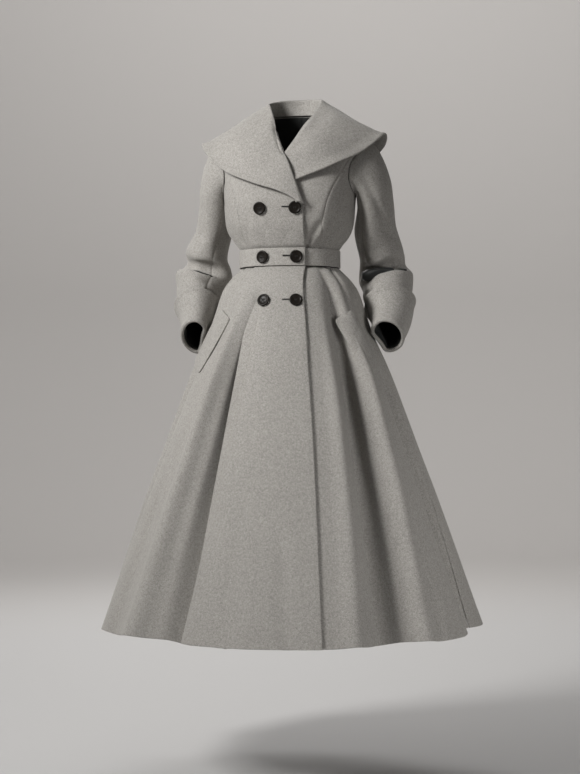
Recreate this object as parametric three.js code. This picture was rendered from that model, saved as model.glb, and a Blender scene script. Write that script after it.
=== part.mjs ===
// A long double-breasted wool coat with a fitted bodice, a waistband, a full flared skirt,
// a very wide cape collar, full sleeves with deep turned-back cuffs, and two slanted welt pockets.
// It is hollow, and keeps the shape it has when it is worn.
//
// Units are millimetres. +Z is up, the front faces -Y, and +X is the wearer's left.
// The origin is between the wearer's shoulders, at the height of the side of the neck.
// An angle round the body is in degrees: 0 at the centre front, 90 at the wearer's left side.
import * as THREE from "three";

// Cloth
const CLOTH = 3; // thickness of the wool
const COLLAR_CLOTH = 4.4; // two layers with an interlining
const LINING_CLOTH = 1;
const SEAM_GAP = 0.3;

// Heights
const NECK_Z = -3;
const SHOULDER_TIP_Z = -57;
const ARMPIT_Z = -178;
const BREAK_Z = -212; // where the collar's roll meets the front edge
const WAIST_TOP_Z = -310;
const WAIST_BOTTOM_Z = -352;
const HEM_Z = -1201;
const WAISTBAND_LIFT = 1; // from the bodice's surface

// Armholes and seams, as angles
const ARMHOLE_HALF_ANGLE = 31;
const SIDE_ANGLE = 90;
const CENTRE_BACK_ANGLE = 180;

// Overlap of the two fronts: how far the right front lies outside the base surface
const OVERLAP_LIFT = 4.6;
const COLLAR_BELOW_LIFT = 5; // more where the left collar lies under the right front
const COLLAR_BELOW_MIDDLE_Z = -125;
const COLLAR_BELOW_REACH = 62;
const OVERLAP_LEAN_MIN = 0.25; // keeps the rise bounded where the surface lies almost level

// Buttons
const BUTTON_RADIUS = 15;
const BUTTON_THICKNESS = 4.6;
const BUTTON_SHANK = 1.3;
const BUTTON_TOP = BUTTON_SHANK + BUTTON_THICKNESS;
// A raised rim and a dished middle. out is a share of the radius, up is from the cloth.
const BUTTON_PROFILE = [
  { out: 0, up: 0 },
  { out: 0.28, up: 0 },
  { out: 0.28, up: BUTTON_SHANK },
  { out: 0.88, up: BUTTON_SHANK },
  { out: 1, up: BUTTON_SHANK + 1.8 },
  { out: 0.88, up: BUTTON_TOP },
  { out: 0.68, up: BUTTON_TOP - 1 },
  { out: 0, up: BUTTON_TOP - 1.4 },
];
const BUTTON_ROWS = [
  { name: "top", z: -219, right: -45, left: 39 },
  { name: "waist", z: -331, right: -43, left: 37 },
  { name: "bottom", z: -436, right: -28, left: 47 },
];

// Pocket welts: rectangles turned on the skirt's surface. The mouth edge faces up and back, and
// corner is the upper end of that edge.
const WELT_LENGTH = 140;
const WELT_WIDTH = 62;
const WELT_TURN = 24; // degrees from upright
const WELT_FLARE = 35; // the skirt's radius grows by this much down to the welt's middle
const WELT_GAP = 0.8;
const WELT_MOUTH_LIFT = 3; // how far the mouth edge stands away
const WELT_CORNERS = [
  { name: "right", sign: -1, angle: -50, z: -452 },
  { name: "left", sign: 1, angle: 61, z: -456 },
];

// Sleeve ends, as shares of the sleeve's length
const CUFF_START = 0.76;
const CUFF_GAP = 0.9;
const LINING_GAP = 2;
const LINING_SEAT = 0.5; // gap at the lining's upper edge, where it is sewn in
const CUFF_FLARE = 5;
const CUFF_CLEAR_START = 0.6;
const SLEEVE_CAP = 0.13; // share over which the armhole's outline becomes the sleeve's
const SLEEVE_CAP_RISE = 24;
const SLEEVE_SEAT = 0.8;
const SLEEVE_SEAM_GAP = 0.6; // wider than the others, because the elbow's folds cross it

// The two panels of a sleeve, each from one seam to the other. An angle round a sleeve is 0 on the
// outside, 90 in front, 180 towards the body and 270 behind.
const SLEEVE_PANELS = [
  { name: "top_sleeve", from: -90, to: 126 },
  { name: "under_sleeve", from: 126, to: 270 },
];

// Sections of the bodice and waistband. rise lifts the back above the front, square fills the
// corners out between front and side, shift moves the section towards the wearer's left.
const BODICE_SECTIONS = [
  { z: -352, side: 121, front: 104, back: 92, rise: 0, square: 0.02, shift: 0 },
  { z: -331, side: 120, front: 103, back: 90, rise: 0, square: 0.02, shift: 0 },
  { z: -310, side: 121, front: 103, back: 90, rise: 0, square: 0.02, shift: 0 },
  { z: -298, side: 127, front: 107, back: 94, rise: 0, square: 0.03, shift: 0 },
  { z: -284, side: 139, front: 112, back: 99, rise: 0, square: 0.03, shift: 0 },
  { z: -266, side: 149, front: 118, back: 103, rise: 0, square: 0.04, shift: 0 },
  { z: -247, side: 154, front: 122, back: 105, rise: 0, square: 0.05, shift: 0 },
  { z: -205, side: 157, front: 126, back: 107, rise: 0, square: 0.06, shift: 0 },
  { z: -175, side: 159, front: 123, back: 108, rise: 0, square: 0.06, shift: 1 },
  { z: -140, side: 165, front: 117, back: 107, rise: 0, square: 0.06, shift: 3 },
  { z: -100, side: 177, front: 108, back: 102, rise: 0, square: 0.05, shift: 5 },
  { z: -72, side: 187, front: 98, back: 95, rise: 0, square: 0.04, shift: 7 },
  { z: -55, side: 190, front: 90, back: 88, rise: 4, square: 0.03, shift: 8 },
  { z: -42, side: 166, front: 84, back: 84, rise: 10, square: 0.02, shift: 9 },
  { z: -28, side: 131, front: 77, back: 80, rise: 16, square: 0.02, shift: 10 },
  { z: -12, side: 92, front: 68, back: 75, rise: 22, square: 0.01, shift: 10 },
  { z: 0, side: 68, front: 60, back: 70, rise: 26, square: 0, shift: 10 },
];

// Sections of the skirt's crests
const SKIRT_SECTIONS = [
  { z: -1201, side: 462, front: 420, back: 425 },
  { z: -1104, side: 427, front: 388, back: 392 },
  { z: -1010, side: 394, front: 356, back: 358 },
  { z: -900, side: 354, front: 318, back: 320 },
  { z: -790, side: 312, front: 279, back: 282 },
  { z: -679, side: 271, front: 241, back: 244 },
  { z: -557, side: 225, front: 199, back: 202 },
  { z: -451, side: 184, front: 162, back: 163 },
  { z: -403, side: 163, front: 143, back: 140 },
  { z: -377, side: 143, front: 125, back: 117 },
  { z: -360, side: 126, front: 109, back: 98 },
  { z: -352, side: 121, front: 104, back: 92 },
];

// Folds of the skirt: the valley's angle at the waist and at the hem, its half width and depth at
// the hem, the height where it starts, and how early it deepens (below 1 is early)
const SKIRT_FOLDS = [
  { waist: -14, hem: -30, width: 10, depth: 40, start: -400, growth: 0.9 },
  { waist: 47, hem: 44, width: 9, depth: 52, start: -356, growth: 0.62 },
  { waist: 72, hem: 85, width: 7.5, depth: 44, start: -420, growth: 0.8 },
  { waist: 112, hem: 119, width: 9, depth: 42, start: -372, growth: 0.7 },
  { waist: 148, hem: 150, width: 9, depth: 46, start: -366, growth: 0.7 },
  { waist: 182, hem: 182, width: 9, depth: 48, start: -360, growth: 0.7 },
  { waist: 214, hem: 213, width: 9, depth: 45, start: -368, growth: 0.7 },
  { waist: 246, hem: 243, width: 9, depth: 43, start: -374, growth: 0.7 },
  { waist: 283, hem: 272, width: 8.5, depth: 38, start: -410, growth: 0.8 },
];

// Where the sleeves press the skirt in
const SLEEVE_DENTS = [
  { angle: -84, z: -495, turn: 20, drop: 70, depth: 11 },
  { angle: 84, z: -500, turn: 17, drop: 60, depth: 11 },
];

// Drag folds of the bodice, from one point to another, as angle and height
const BODICE_FOLDS = [
  { angle0: 48, z0: -304, angle1: 62, z1: -222, width: 10, depth: 6 },
  { angle0: 66, z0: -300, angle1: 86, z1: -240, width: 10, depth: 6 },
  { angle0: -48, z0: -304, angle1: -60, z1: -240, width: 10, depth: 4 },
  { angle0: 128, z0: -304, angle1: 112, z1: -236, width: 11, depth: 5 },
  { angle0: -128, z0: -304, angle1: -112, z1: -236, width: 11, depth: 5 },
];
const FOLD_MM_PER_DEGREE = 2.3;
const FOLD_ENDS = { start: 0.15, span: 0.8 }; // how far a fold has deepened at its two ends

// The front edge of the right front and the hidden edge of the left one, as x at each height
const FRONT_EDGE = [
  { z: -1201, over: 156, under: -156 },
  { z: -800, over: 112, under: -112 },
  { z: -500, over: 74, under: -74 },
  { z: -352, over: 57, under: -57 },
  { z: -212, over: 57, under: -57 },
];

// The neck edges of the two fronts, as x at each height
const NECK_EDGE = [
  { z: -212, right: 52, left: -57 },
  { z: -180, right: 41, left: -36 },
  { z: -152, right: 30, left: -18 },
  { z: -111, right: 12, left: 9 },
  { z: -93, right: 3, left: 21 },
  { z: -60, right: -14, left: 39 },
  { z: -30, right: -32, left: 54 },
  { z: -3, right: -46, left: 65 },
];

// The princess seam's angle at each height: it runs from the waist to the shoulder seam
const PRINCESS_SEAM = [
  { z: -352, angle: 43 },
  { z: -310, angle: 43 },
  { z: -250, angle: 38 },
  { z: -200, angle: 41 },
  { z: -150, angle: 48 },
  { z: -100, angle: 55 },
  { z: -57, angle: 64 },
  { z: -28, angle: 79 },
  { z: -3, angle: 86 },
];

// The collar, from the right front's break round the back to the end of the left collar. neck is
// where it is sewn on: a height on a front's neck edge, or an angle round the neck.
const COLLAR_STATIONS = [
  { neck: { right: -206 }, roll: [58, -131, -211], middle: [52, -134, -206], edge: [45, -133, -202] },
  { neck: { right: -160 }, roll: [40, -133, -160], middle: [21, -139, -170], edge: [2, -137, -181] },
  { neck: { right: -115 }, roll: [22, -127, -113], middle: [-26, -137, -141], edge: [-60, -133, -161] },
  { neck: { right: -75 }, roll: [2, -106, -76], middle: [-62, -123, -104], edge: [-116, -108, -138] },
  { neck: { right: -32 }, roll: [-15, -81, -30], middle: [-92, -92, -56], edge: [-170, -68, -103] },
  { neck: { angle: -52 }, roll: [-25, -66, 4], middle: [-102, -72, -32], edge: [-192, -46, -82] },
  { neck: { angle: -70 }, roll: [-34, -48, 27], middle: [-110, -46, -10], edge: [-211, -20, -56] },
  { neck: { angle: -100 }, roll: [-50, 4, 46], middle: [-120, 18, 6], edge: [-200, 46, -76] },
  { neck: { angle: -142 }, roll: [-34, 54, 61], middle: [-80, 88, 16], edge: [-122, 108, -112] },
  { neck: { angle: -180 }, roll: [10, 76, 66], middle: [10, 110, 10], edge: [8, 126, -134] },
  { neck: { angle: -218 }, roll: [54, 54, 62], middle: [100, 88, 18], edge: [142, 108, -104] },
  { neck: { angle: -260 }, roll: [73, 6, 50], middle: [138, 18, 14], edge: [220, 46, -62] },
  { neck: { angle: -290 }, roll: [70, -18, 27], middle: [138, -38, 0], edge: [231, -14, -43] },
  { neck: { angle: -310 }, roll: [61, -46, 3], middle: [130, -66, -20], edge: [210, -40, -64] },
  { neck: { left: -30 }, roll: [48, -69, -20], middle: [116, -90, -42], edge: [182, -64, -88] },
  { neck: { left: -62 }, roll: [30, -96, -58], middle: [80, -112, -80], edge: [128, -100, -118] },
  { neck: { left: -98 }, roll: [6, -111, -94], middle: [27, -117.5, -122], edge: [36, -121, -158] },
];

// Sleeves: centre of each section, and its half widths away from the body, towards it, and front
// to back. The first section lies in the armhole.
const SLEEVES = {
  left: [
    { x: 174, y: 2, z: -120, out: 56, in: 54, across: 54 },
    { x: 190, y: 12, z: -146, out: 51, in: 48, across: 58 },
    { x: 199, y: 36, z: -196, out: 46, in: 43, across: 60 },
    { x: 197, y: 62, z: -262, out: 52, in: 50, across: 60 },
    { x: 208, y: 87, z: -318, out: 55, in: 53, across: 64 },
    { x: 214, y: 97, z: -372, out: 69, in: 66, across: 68 },
    { x: 224, y: 70, z: -420, out: 61, in: 58, across: 64 },
    { x: 236, y: 35, z: -470, out: 47, in: 42, across: 54 },
    { x: 236, y: -13, z: -514, out: 38, in: 33, across: 46 },
  ],
  right: [
    { x: -163, y: 2, z: -120, out: 56, in: 54, across: 54 },
    { x: -176, y: 14, z: -146, out: 49, in: 48, across: 58 },
    { x: -190, y: 40, z: -200, out: 43, in: 43, across: 60 },
    { x: -204, y: 59, z: -262, out: 44, in: 43, across: 60 },
    { x: -224, y: 66, z: -318, out: 54, in: 52, across: 64 },
    { x: -226, y: 62, z: -368, out: 68, in: 66, across: 68 },
    { x: -232, y: 32, z: -420, out: 57, in: 52, across: 62 },
    { x: -221, y: -11, z: -470, out: 42, in: 32, across: 54 },
    { x: -213, y: -66, z: -515, out: 34, in: 26, across: 46 },
  ],
};

// Folds round each elbow: share of the sleeve's length, angle round the sleeve (0 outside, 90
// front), half length in degrees, half width as a share of the length, depth, and how much
// the share grows for each degree round
const ELBOW_FOLDS = {
  left: [
    { at: 0.535, angle: 95, reach: 95, width: 0.036, depth: 13, slope: 0.0003 },
    { at: 0.66, angle: 160, reach: 60, width: 0.036, depth: 9, slope: -0.0002 },
  ],
  right: [
    { at: 0.535, angle: 90, reach: 95, width: 0.036, depth: 13, slope: 0.0003 },
    { at: 0.66, angle: 150, reach: 60, width: 0.036, depth: 10, slope: -0.0002 },
  ],
};
const ELBOW_FOLD_END = 1.5; // above 1 the fold keeps its depth longer

// The collar's section
const COLLAR_SEAT = 3.6; // from the neck edge to the middle of the collar's cloth
const COLLAR_SEAT_LIFT = 0.3;
const COLLAR_STAND = 0.62;
const COLLAR_TURN = 0.2;
const COLLAR_FALL_START = 0.35; // share of the section, from the neck to the outer edge
const COLLAR_FALL_BLEND = 0.1;
const COLLAR_LEFT_START = 0.5; // share of the collar's length

// How far the loose pieces keep from the bodice and the skirt. Softness is how far from that
// limit they start to give way.
const COLLAR_SOFTNESS = 3;
const SLEEVE_SOFTNESS = 8;
const ROOT_SOFTNESS = 0.1; // of the sleeve at the armhole
const SLEEVE_CLEAR = 3.2;
const CUFF_CLEAR = 11.5; // the turned-back cuff and the pocket welt lie between
const COLLAR_CLEAR = 5.4; // to the middle of the collar's cloth

// How finely each piece is divided, and its width in degrees for that
const BODICE_ROW_HEIGHTS = [-303, -294, -280, -258, -222];
const SHOULDER_ROW_HEIGHTS = [-46, -30];
const ARMHOLE_STEPS = 10; // from the shoulder tip to the armpit
const SLEEVE_STEPS = 2 * ARMHOLE_STEPS;
const SLEEVE_STEP_ANGLE = 360 / SLEEVE_STEPS;
const SKIRT_ROW_HEIGHTS = [-362, -378, -402, -436, -484, -546, -622, -716, -828, -952, -1080];
const SKIRT_DEGREES_PER_COLUMN = 3.9;
const BODICE_DEGREES_PER_COLUMN = 9.4;
const FRONT_DEGREES = 70;
const SIDE_FRONT_DEGREES = 45;
const BACK_DEGREES = 90;
const BAND_FRONT_DEGREES = 118;
const BAND_BACK_DEGREES = 180;
const SKIRT_FRONT_DEGREES = 114;
const BUTTON_SIDES = 14;
const COLLAR_COLUMNS = 44;
const SLEEVE_SHARES = [0.035, 0.075, 0.12, 0.18, 0.25, 0.33, 0.41, 0.48, 0.53, 0.58, 0.63, 0.69];
const WELT_ROWS = 9;
const WELT_COLUMNS = 4;
const CUFF_ROWS = 4;
const LINING_ROWS = 2;
const COLLAR_ROWS = [0, 0.13, 0.27, 0.36, 0.48, 0.62, 0.75, 0.84, 0.92, 1];

// Steps and passes of the searches
const NORMAL_STEP = 1e-3; // of a share
const ANGLE_STEP = 0.2; // degrees
const SLEEVE_ANGLE_STEP = 1;
const BUTTON_ANGLE_STEP = 2;
const HEIGHT_STEP = 0.5;
const BUTTON_HEIGHT_STEP = 5;
const ANGLE_HALVINGS = 40;
const FACING_PASSES = 6;
const CLEAR_PASSES = 4;

const COLOURS = { wool: 0xaaa7a2, lining: 0x121413, button: 0x141414 };

const radians = THREE.MathUtils.degToRad;

// A smooth curve through one column of a table, that never overshoots a row
function tableCurve(table, column, key = "z") {
  const rows = [...table].sort((a, b) => a[key] - b[key]);
  const k = rows.map((row) => row[key]);
  const value = rows.map((row) => row[column]);
  const last = rows.length - 1;
  const step = k.slice(1).map((x, i) => x - k[i]);
  const slope = step.map((h, i) => (value[i + 1] - value[i]) / h);
  const tangent = value.map((_, i) => {
    if (i === 0) return slope[0];
    if (i === last) return slope[last - 1];
    if (slope[i - 1] * slope[i] <= 0) return 0;
    const w1 = 2 * step[i] + step[i - 1];
    const w2 = step[i] + 2 * step[i - 1];
    return (w1 + w2) / (w1 / slope[i - 1] + w2 / slope[i]);
  });
  return (x) => {
    const at = Math.min(Math.max(x, k[0]), k[last]);
    let i = 0;
    while (i < last - 1 && at > k[i + 1]) i += 1;
    const h = step[i];
    const t = (at - k[i]) / h;
    const t2 = t * t;
    const t3 = t2 * t;
    return (
      (2 * t3 - 3 * t2 + 1) * value[i] +
      (t3 - 2 * t2 + t) * h * tangent[i] +
      (-2 * t3 + 3 * t2) * value[i + 1] +
      (t3 - t2) * h * tangent[i + 1]
    );
  };
}

function tableCurves(table, columns, key = "z") {
  return Object.fromEntries(columns.map((column) => [column, tableCurve(table, column, key)]));
}

// Shares of a row of points' own length, from 0 to 1
function lengthShares(points) {
  const at = [0];
  for (let i = 1; i < points.length; i += 1) at.push(at[i - 1] + points[i].distanceTo(points[i - 1]));
  return at.map((length) => length / at[at.length - 1]);
}

// A smooth curve that reaches each point at its share
function pointCurve(points, at = lengthShares(points)) {
  const slope = points.slice(1).map((p, i) => p.clone().sub(points[i]).divideScalar(at[i + 1] - at[i]));
  const tangent = points.map((_, i) => {
    if (i === 0) return slope[0].clone();
    if (i === points.length - 1) return slope[i - 1].clone();
    const before = at[i] - at[i - 1];
    const after = at[i + 1] - at[i];
    const sum = slope[i - 1].clone().multiplyScalar(after).addScaledVector(slope[i], before);
    return sum.divideScalar(before + after);
  });
  return (share) => {
    const x = Math.min(Math.max(share, 0), 1);
    let i = 0;
    while (i < points.length - 2 && x > at[i + 1]) i += 1;
    const h = at[i + 1] - at[i];
    const t = (x - at[i]) / h;
    return points[i]
      .clone()
      .multiplyScalar(2 * t ** 3 - 3 * t ** 2 + 1)
      .addScaledVector(tangent[i], (t ** 3 - 2 * t ** 2 + t) * h)
      .addScaledVector(points[i + 1], -2 * t ** 3 + 3 * t ** 2)
      .addScaledVector(tangent[i + 1], (t ** 3 - t ** 2) * h);
  };
}

// The direction of a curve at a share of its length
function curveDirection(curve, share) {
  const held = Math.min(Math.max(share, NORMAL_STEP), 1 - NORMAL_STEP);
  return curve(held + NORMAL_STEP).sub(curve(held - NORMAL_STEP)).normalize();
}

const turnBetween = (angle, from) => ((((angle - from) % 360) + 540) % 360) - 180;

const smooth = (t) => {
  const c = Math.min(Math.max(t, 0), 1);
  return c * c * (3 - 2 * c);
};

const bell = (x) => Math.exp(-x * x);

// A row of evenly spaced numbers, both ends included
function spread(from, to, count) {
  return Array.from({ length: count + 1 }, (_, i) => from + ((to - from) * i) / count);
}

const bodice = tableCurves(BODICE_SECTIONS, ["side", "front", "back", "rise", "square", "shift"]);
const skirt = tableCurves(SKIRT_SECTIONS, ["side", "front", "back"]);
const frontEdge = tableCurves(FRONT_EDGE, ["over", "under"]);
const neckEdge = tableCurves(NECK_EDGE, ["right", "left"]);
const princessSeam = tableCurve(PRINCESS_SEAM, "angle");

// How far a point lies inside the plain bodice because of its drag folds
function bodiceFoldDepth(angle, z) {
  return BODICE_FOLDS.reduce((sum, fold) => {
    const across = (fold.angle1 - fold.angle0) * FOLD_MM_PER_DEGREE;
    const up = fold.z1 - fold.z0;
    const px = turnBetween(angle, fold.angle0) * FOLD_MM_PER_DEGREE;
    const pz = z - fold.z0;
    const share = (px * across + pz * up) / (across * across + up * up);
    const held = Math.min(Math.max(share, 0), 1);
    const away = Math.hypot(px - held * across, pz - held * up);
    const fade = Math.sin(Math.PI * (FOLD_ENDS.start + FOLD_ENDS.span * held));
    return sum + fold.depth * fade * bell(away / fold.width);
  }, 0);
}

// The outside of the bodice and waistband
function bodicePoint(angle, z, lift = 0) {
  const s = Math.sin(radians(angle));
  const c = Math.cos(radians(angle));
  const fill = 1 + bodice.square(z) * Math.sin(radians(2 * angle)) ** 2;
  const depth = c > 0 ? bodice.front(z) : bodice.back(z);
  const point = new THREE.Vector3(
    bodice.side(z) * s * fill,
    -depth * c * fill,
    z + (bodice.rise(z) * (1 - c)) / 2,
  );
  const flat = Math.hypot(point.x, point.y);
  const out = (flat + lift - bodiceFoldDepth(angle, z)) / flat;
  point.x = point.x * out + bodice.shift(z);
  point.y *= out;
  return point;
}

// The depth of the skirt's folds, where crests have none
function skirtFoldDepth(angle, z) {
  const fall = Math.max((WAIST_BOTTOM_Z - z) / (WAIST_BOTTOM_Z - HEM_Z), 0);
  const folds = SKIRT_FOLDS.reduce((sum, fold) => {
    const down = Math.max((fold.start - z) / (fold.start - HEM_Z), 0);
    const middle = fold.waist + (fold.hem - fold.waist) * Math.sqrt(fall);
    return sum + fold.depth * down ** fold.growth * bell(turnBetween(angle, middle) / fold.width);
  }, 0);
  return SLEEVE_DENTS.reduce((sum, dent) => {
    const across = turnBetween(angle, dent.angle) / dent.turn;
    return sum + dent.depth * bell(across) * bell((z - dent.z) / dent.drop);
  }, folds);
}

// The outside of the skirt
function skirtPoint(angle, z, lift = 0) {
  const s = Math.sin(radians(angle));
  const c = Math.cos(radians(angle));
  const depth = c > 0 ? skirt.front(z) : skirt.back(z);
  const x = skirt.side(z) * s;
  const y = -depth * c;
  const flat = Math.hypot(x, y);
  const out = (flat + lift - skirtFoldDepth(angle, z)) / flat;
  return new THREE.Vector3(x * out, y * out, z);
}

// The angle at which a surface has a given x at a given height, on the front half
function angleAtX(surface, x, z) {
  let low = -SIDE_ANGLE;
  let high = SIDE_ANGLE;
  for (let i = 0; i < ANGLE_HALVINGS; i += 1) {
    const middle = (low + high) / 2;
    if (surface(middle, z).x < x) low = middle;
    else high = middle;
  }
  return (low + high) / 2;
}

const armholeMiddle = (SHOULDER_TIP_Z + ARMPIT_Z) / 2;
const armholeReach = (SHOULDER_TIP_Z - ARMPIT_Z) / 2;

// Half the armhole's width as an angle at a height, none above the tip or below the armpit
function armholeAngle(z) {
  const up = (z - armholeMiddle) / armholeReach;
  return ARMHOLE_HALF_ANGLE * Math.sqrt(Math.max(1 - up ** 2, 0));
}

// The height of each step round the armhole, from the shoulder tip down to the armpit
function armholeHeight(share) {
  return armholeMiddle + armholeReach * Math.cos(Math.PI * share);
}

const frontEdgeAngle = (surface, z) => angleAtX(surface, frontEdge.over(z), z);
const underEdgeAngle = (surface, z) => angleAtX(surface, frontEdge.under(z), z);

// The normal of a surface of two numbers, by small steps
function normalAt(surface, a, b, stepA = ANGLE_STEP, stepB = HEIGHT_STEP) {
  const along = surface(a + stepA, b).sub(surface(a - stepA, b));
  const up = surface(a, b + stepB).sub(surface(a, b - stepB));
  return along.cross(up).normalize();
}

// The right front rises over the left one between the princess seam and the hidden edge. The
// rise is sideways, so that it grows where the surface leans back.
function overlapLift(surface, angle, z) {
  const seam = -princessSeam(z);
  const rising = smooth((angle - seam) / (underEdgeAngle(surface, z) - seam));
  if (rising === 0) return 0;
  const below = COLLAR_BELOW_LIFT * bell((z - COLLAR_BELOW_MIDDLE_Z) / COLLAR_BELOW_REACH);
  const lean = 1 - Math.abs(normalAt(surface, angle, z).z);
  const sideways = Math.sqrt(Math.max(lean * (2 - lean), OVERLAP_LEAN_MIN));
  return (rising * (OVERLAP_LIFT + below)) / sideways;
}

// The angle and height on the bodice, waistband or skirt that a point in space faces
function facing(point) {
  let z = point.z;
  let angle = 0;
  const onSkirt = z < WAIST_BOTTOM_Z;
  const section = onSkirt ? skirt : bodice;
  for (let i = 0; i < FACING_PASSES; i += 1) {
    const depth = point.y < 0 ? section.front(z) : section.back(z);
    const shift = onSkirt ? 0 : bodice.shift(z);
    const across = (point.x - shift) / section.side(z);
    angle = THREE.MathUtils.radToDeg(Math.atan2(across, -point.y / depth));
    if (onSkirt) break;
    z = Math.min(point.z - (bodice.rise(z) * (1 - Math.cos(radians(angle)))) / 2, NECK_Z);
  }
  return { angle, z, onSkirt };
}

// Moves a point out until it is clear of the bodice or the skirt, softly. overRight counts the
// right front where it laps over the left one.
function keepClear(point, clearance, softness, overRight) {
  const probe = point.clone();
  const normal = new THREE.Vector3();
  let away = 0;
  for (let i = 0; i < CLEAR_PASSES; i += 1) {
    const { angle, z, onSkirt } = facing(probe);
    const base = onSkirt ? skirtPoint : bodicePoint;
    const lapped = overRight && angle < frontEdgeAngle(base, Math.min(z, BREAK_Z));
    const surface = lapped ? (a, h) => base(a, h, overlapLift(base, a, h)) : base;
    const foot = surface(angle, z);
    normal.copy(normalAt(surface, angle, z));
    if (normal.x * foot.x + normal.y * foot.y < 0) normal.negate();
    away = point.clone().sub(foot).dot(normal);
    probe.copy(point).addScaledVector(normal, -away);
  }
  const short = clearance - away;
  if (short <= -softness) return point;
  const push = short >= softness ? short : (short + softness) ** 2 / (4 * softness);
  return point.addScaledVector(normal, push);
}

// A closed solid between two grids of points, open or closed round its columns
function wallGeometry(outer, inner, closed = false) {
  const rows = outer.length;
  const columns = outer[0].length;
  const points = [...outer.flat(), ...inner.flat()];
  const at = (side, i, j) => side * rows * columns + i * columns + (j % columns);
  const faces = [];
  const quad = (a, b, c, d, cut) => {
    if (cut) faces.push(a, b, c, a, c, d);
    else faces.push(b, c, d, b, d, a);
  };
  const wraps = closed ? columns : columns - 1;
  for (let i = 0; i < rows - 1; i += 1) {
    for (let j = 0; j < wraps; j += 1) {
      const ring = [at(0, i, j), at(0, i, j + 1), at(0, i + 1, j + 1), at(0, i + 1, j)];
      const [a, b, c, d] = ring.map((n) => points[n]);
      const cut = a.distanceTo(c) < b.distanceTo(d);
      quad(...ring, cut);
      const back = ring.map((n) => n + rows * columns);
      if (cut) faces.push(back[2], back[1], back[0], back[3], back[2], back[0]);
      else faces.push(back[3], back[2], back[1], back[0], back[3], back[1]);
    }
  }
  for (let j = 0; j < wraps; j += 1) {
    quad(at(0, 0, j), at(1, 0, j), at(1, 0, j + 1), at(0, 0, j + 1), true);
    const top = rows - 1;
    quad(at(0, top, j + 1), at(1, top, j + 1), at(1, top, j), at(0, top, j), true);
  }
  for (let i = 0; !closed && i < rows - 1; i += 1) {
    quad(at(0, i + 1, 0), at(1, i + 1, 0), at(1, i, 0), at(0, i, 0), true);
    const end = columns - 1;
    quad(at(0, i, end), at(1, i, end), at(1, i + 1, end), at(0, i + 1, end), false);
  }
  return facingOut(points, faces);
}

// A geometry from points and faces, turned round if its faces point inwards
function facingOut(points, faces) {
  let volume = 0;
  for (let i = 0; i < faces.length; i += 3) {
    const [a, b, c] = [points[faces[i]], points[faces[i + 1]], points[faces[i + 2]]];
    volume += a.dot(new THREE.Vector3().crossVectors(b, c));
  }
  const index = volume < 0 ? [...faces].reverse() : faces;
  const geometry = new THREE.BufferGeometry();
  const places = points.flatMap((point) => point.toArray());
  geometry.setAttribute("position", new THREE.Float32BufferAttribute(places, 3));
  geometry.setIndex(index);
  return geometry;
}

// A cloth wall under a surface. Each row has its own limits across.
function clothPanel({ surface, heights, from, to, columns }) {
  const outer = [];
  const inner = [];
  for (const z of heights) {
    const outerRow = [];
    const innerRow = [];
    for (const angle of spread(from(z), to(z), columns)) {
      const point = surface(angle, z);
      const normal = normalAt(surface, angle, z);
      outerRow.push(point);
      innerRow.push(point.clone().addScaledVector(normal, -CLOTH));
    }
    outer.push(outerRow);
    inner.push(innerRow);
  }
  return wallGeometry(outer, inner);
}

// An edge angle drawn in by half a seam's gap, on the side given by sign
function insideSeam(surface, angle, z, sign) {
  const point = surface(angle, z);
  const mmPerDegree = point.distanceTo(surface(angle + 1, z));
  return angle + (sign * SEAM_GAP) / 2 / mmPerDegree;
}

const group = new THREE.Group();
const wool = new THREE.MeshStandardMaterial({ color: COLOURS.wool, roughness: 0.95, metalness: 0 });
const lining = new THREE.MeshStandardMaterial({ color: COLOURS.lining, roughness: 0.5, metalness: 0 });
const polished = new THREE.MeshStandardMaterial({ color: COLOURS.button, roughness: 0.3, metalness: 0 });

function addPiece(name, geometry, material) {
  const mesh = new THREE.Mesh(geometry, material);
  mesh.name = name;
  group.add(mesh);
  return mesh;
}

// Bodice
const bodiceHeights = [
  WAIST_TOP_Z + SEAM_GAP / 2,
  ...BODICE_ROW_HEIGHTS,
  ...spread(1, 0, ARMHOLE_STEPS).map(armholeHeight),
  ...SHOULDER_ROW_HEIGHTS,
  NECK_Z,
];

const rightFrontSurface = (angle, z) => bodicePoint(angle, z, overlapLift(bodicePoint, angle, z));

function bodiceFrontLimit(surface, z, side) {
  if (z < BREAK_Z) {
    return side === "right" ? frontEdgeAngle(surface, z) : underEdgeAngle(surface, z);
  }
  return angleAtX(surface, neckEdge[side](z), z);
}

function bodiceColumns(degrees) {
  return Math.max(Math.round(degrees / BODICE_DEGREES_PER_COLUMN), 2);
}

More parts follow.
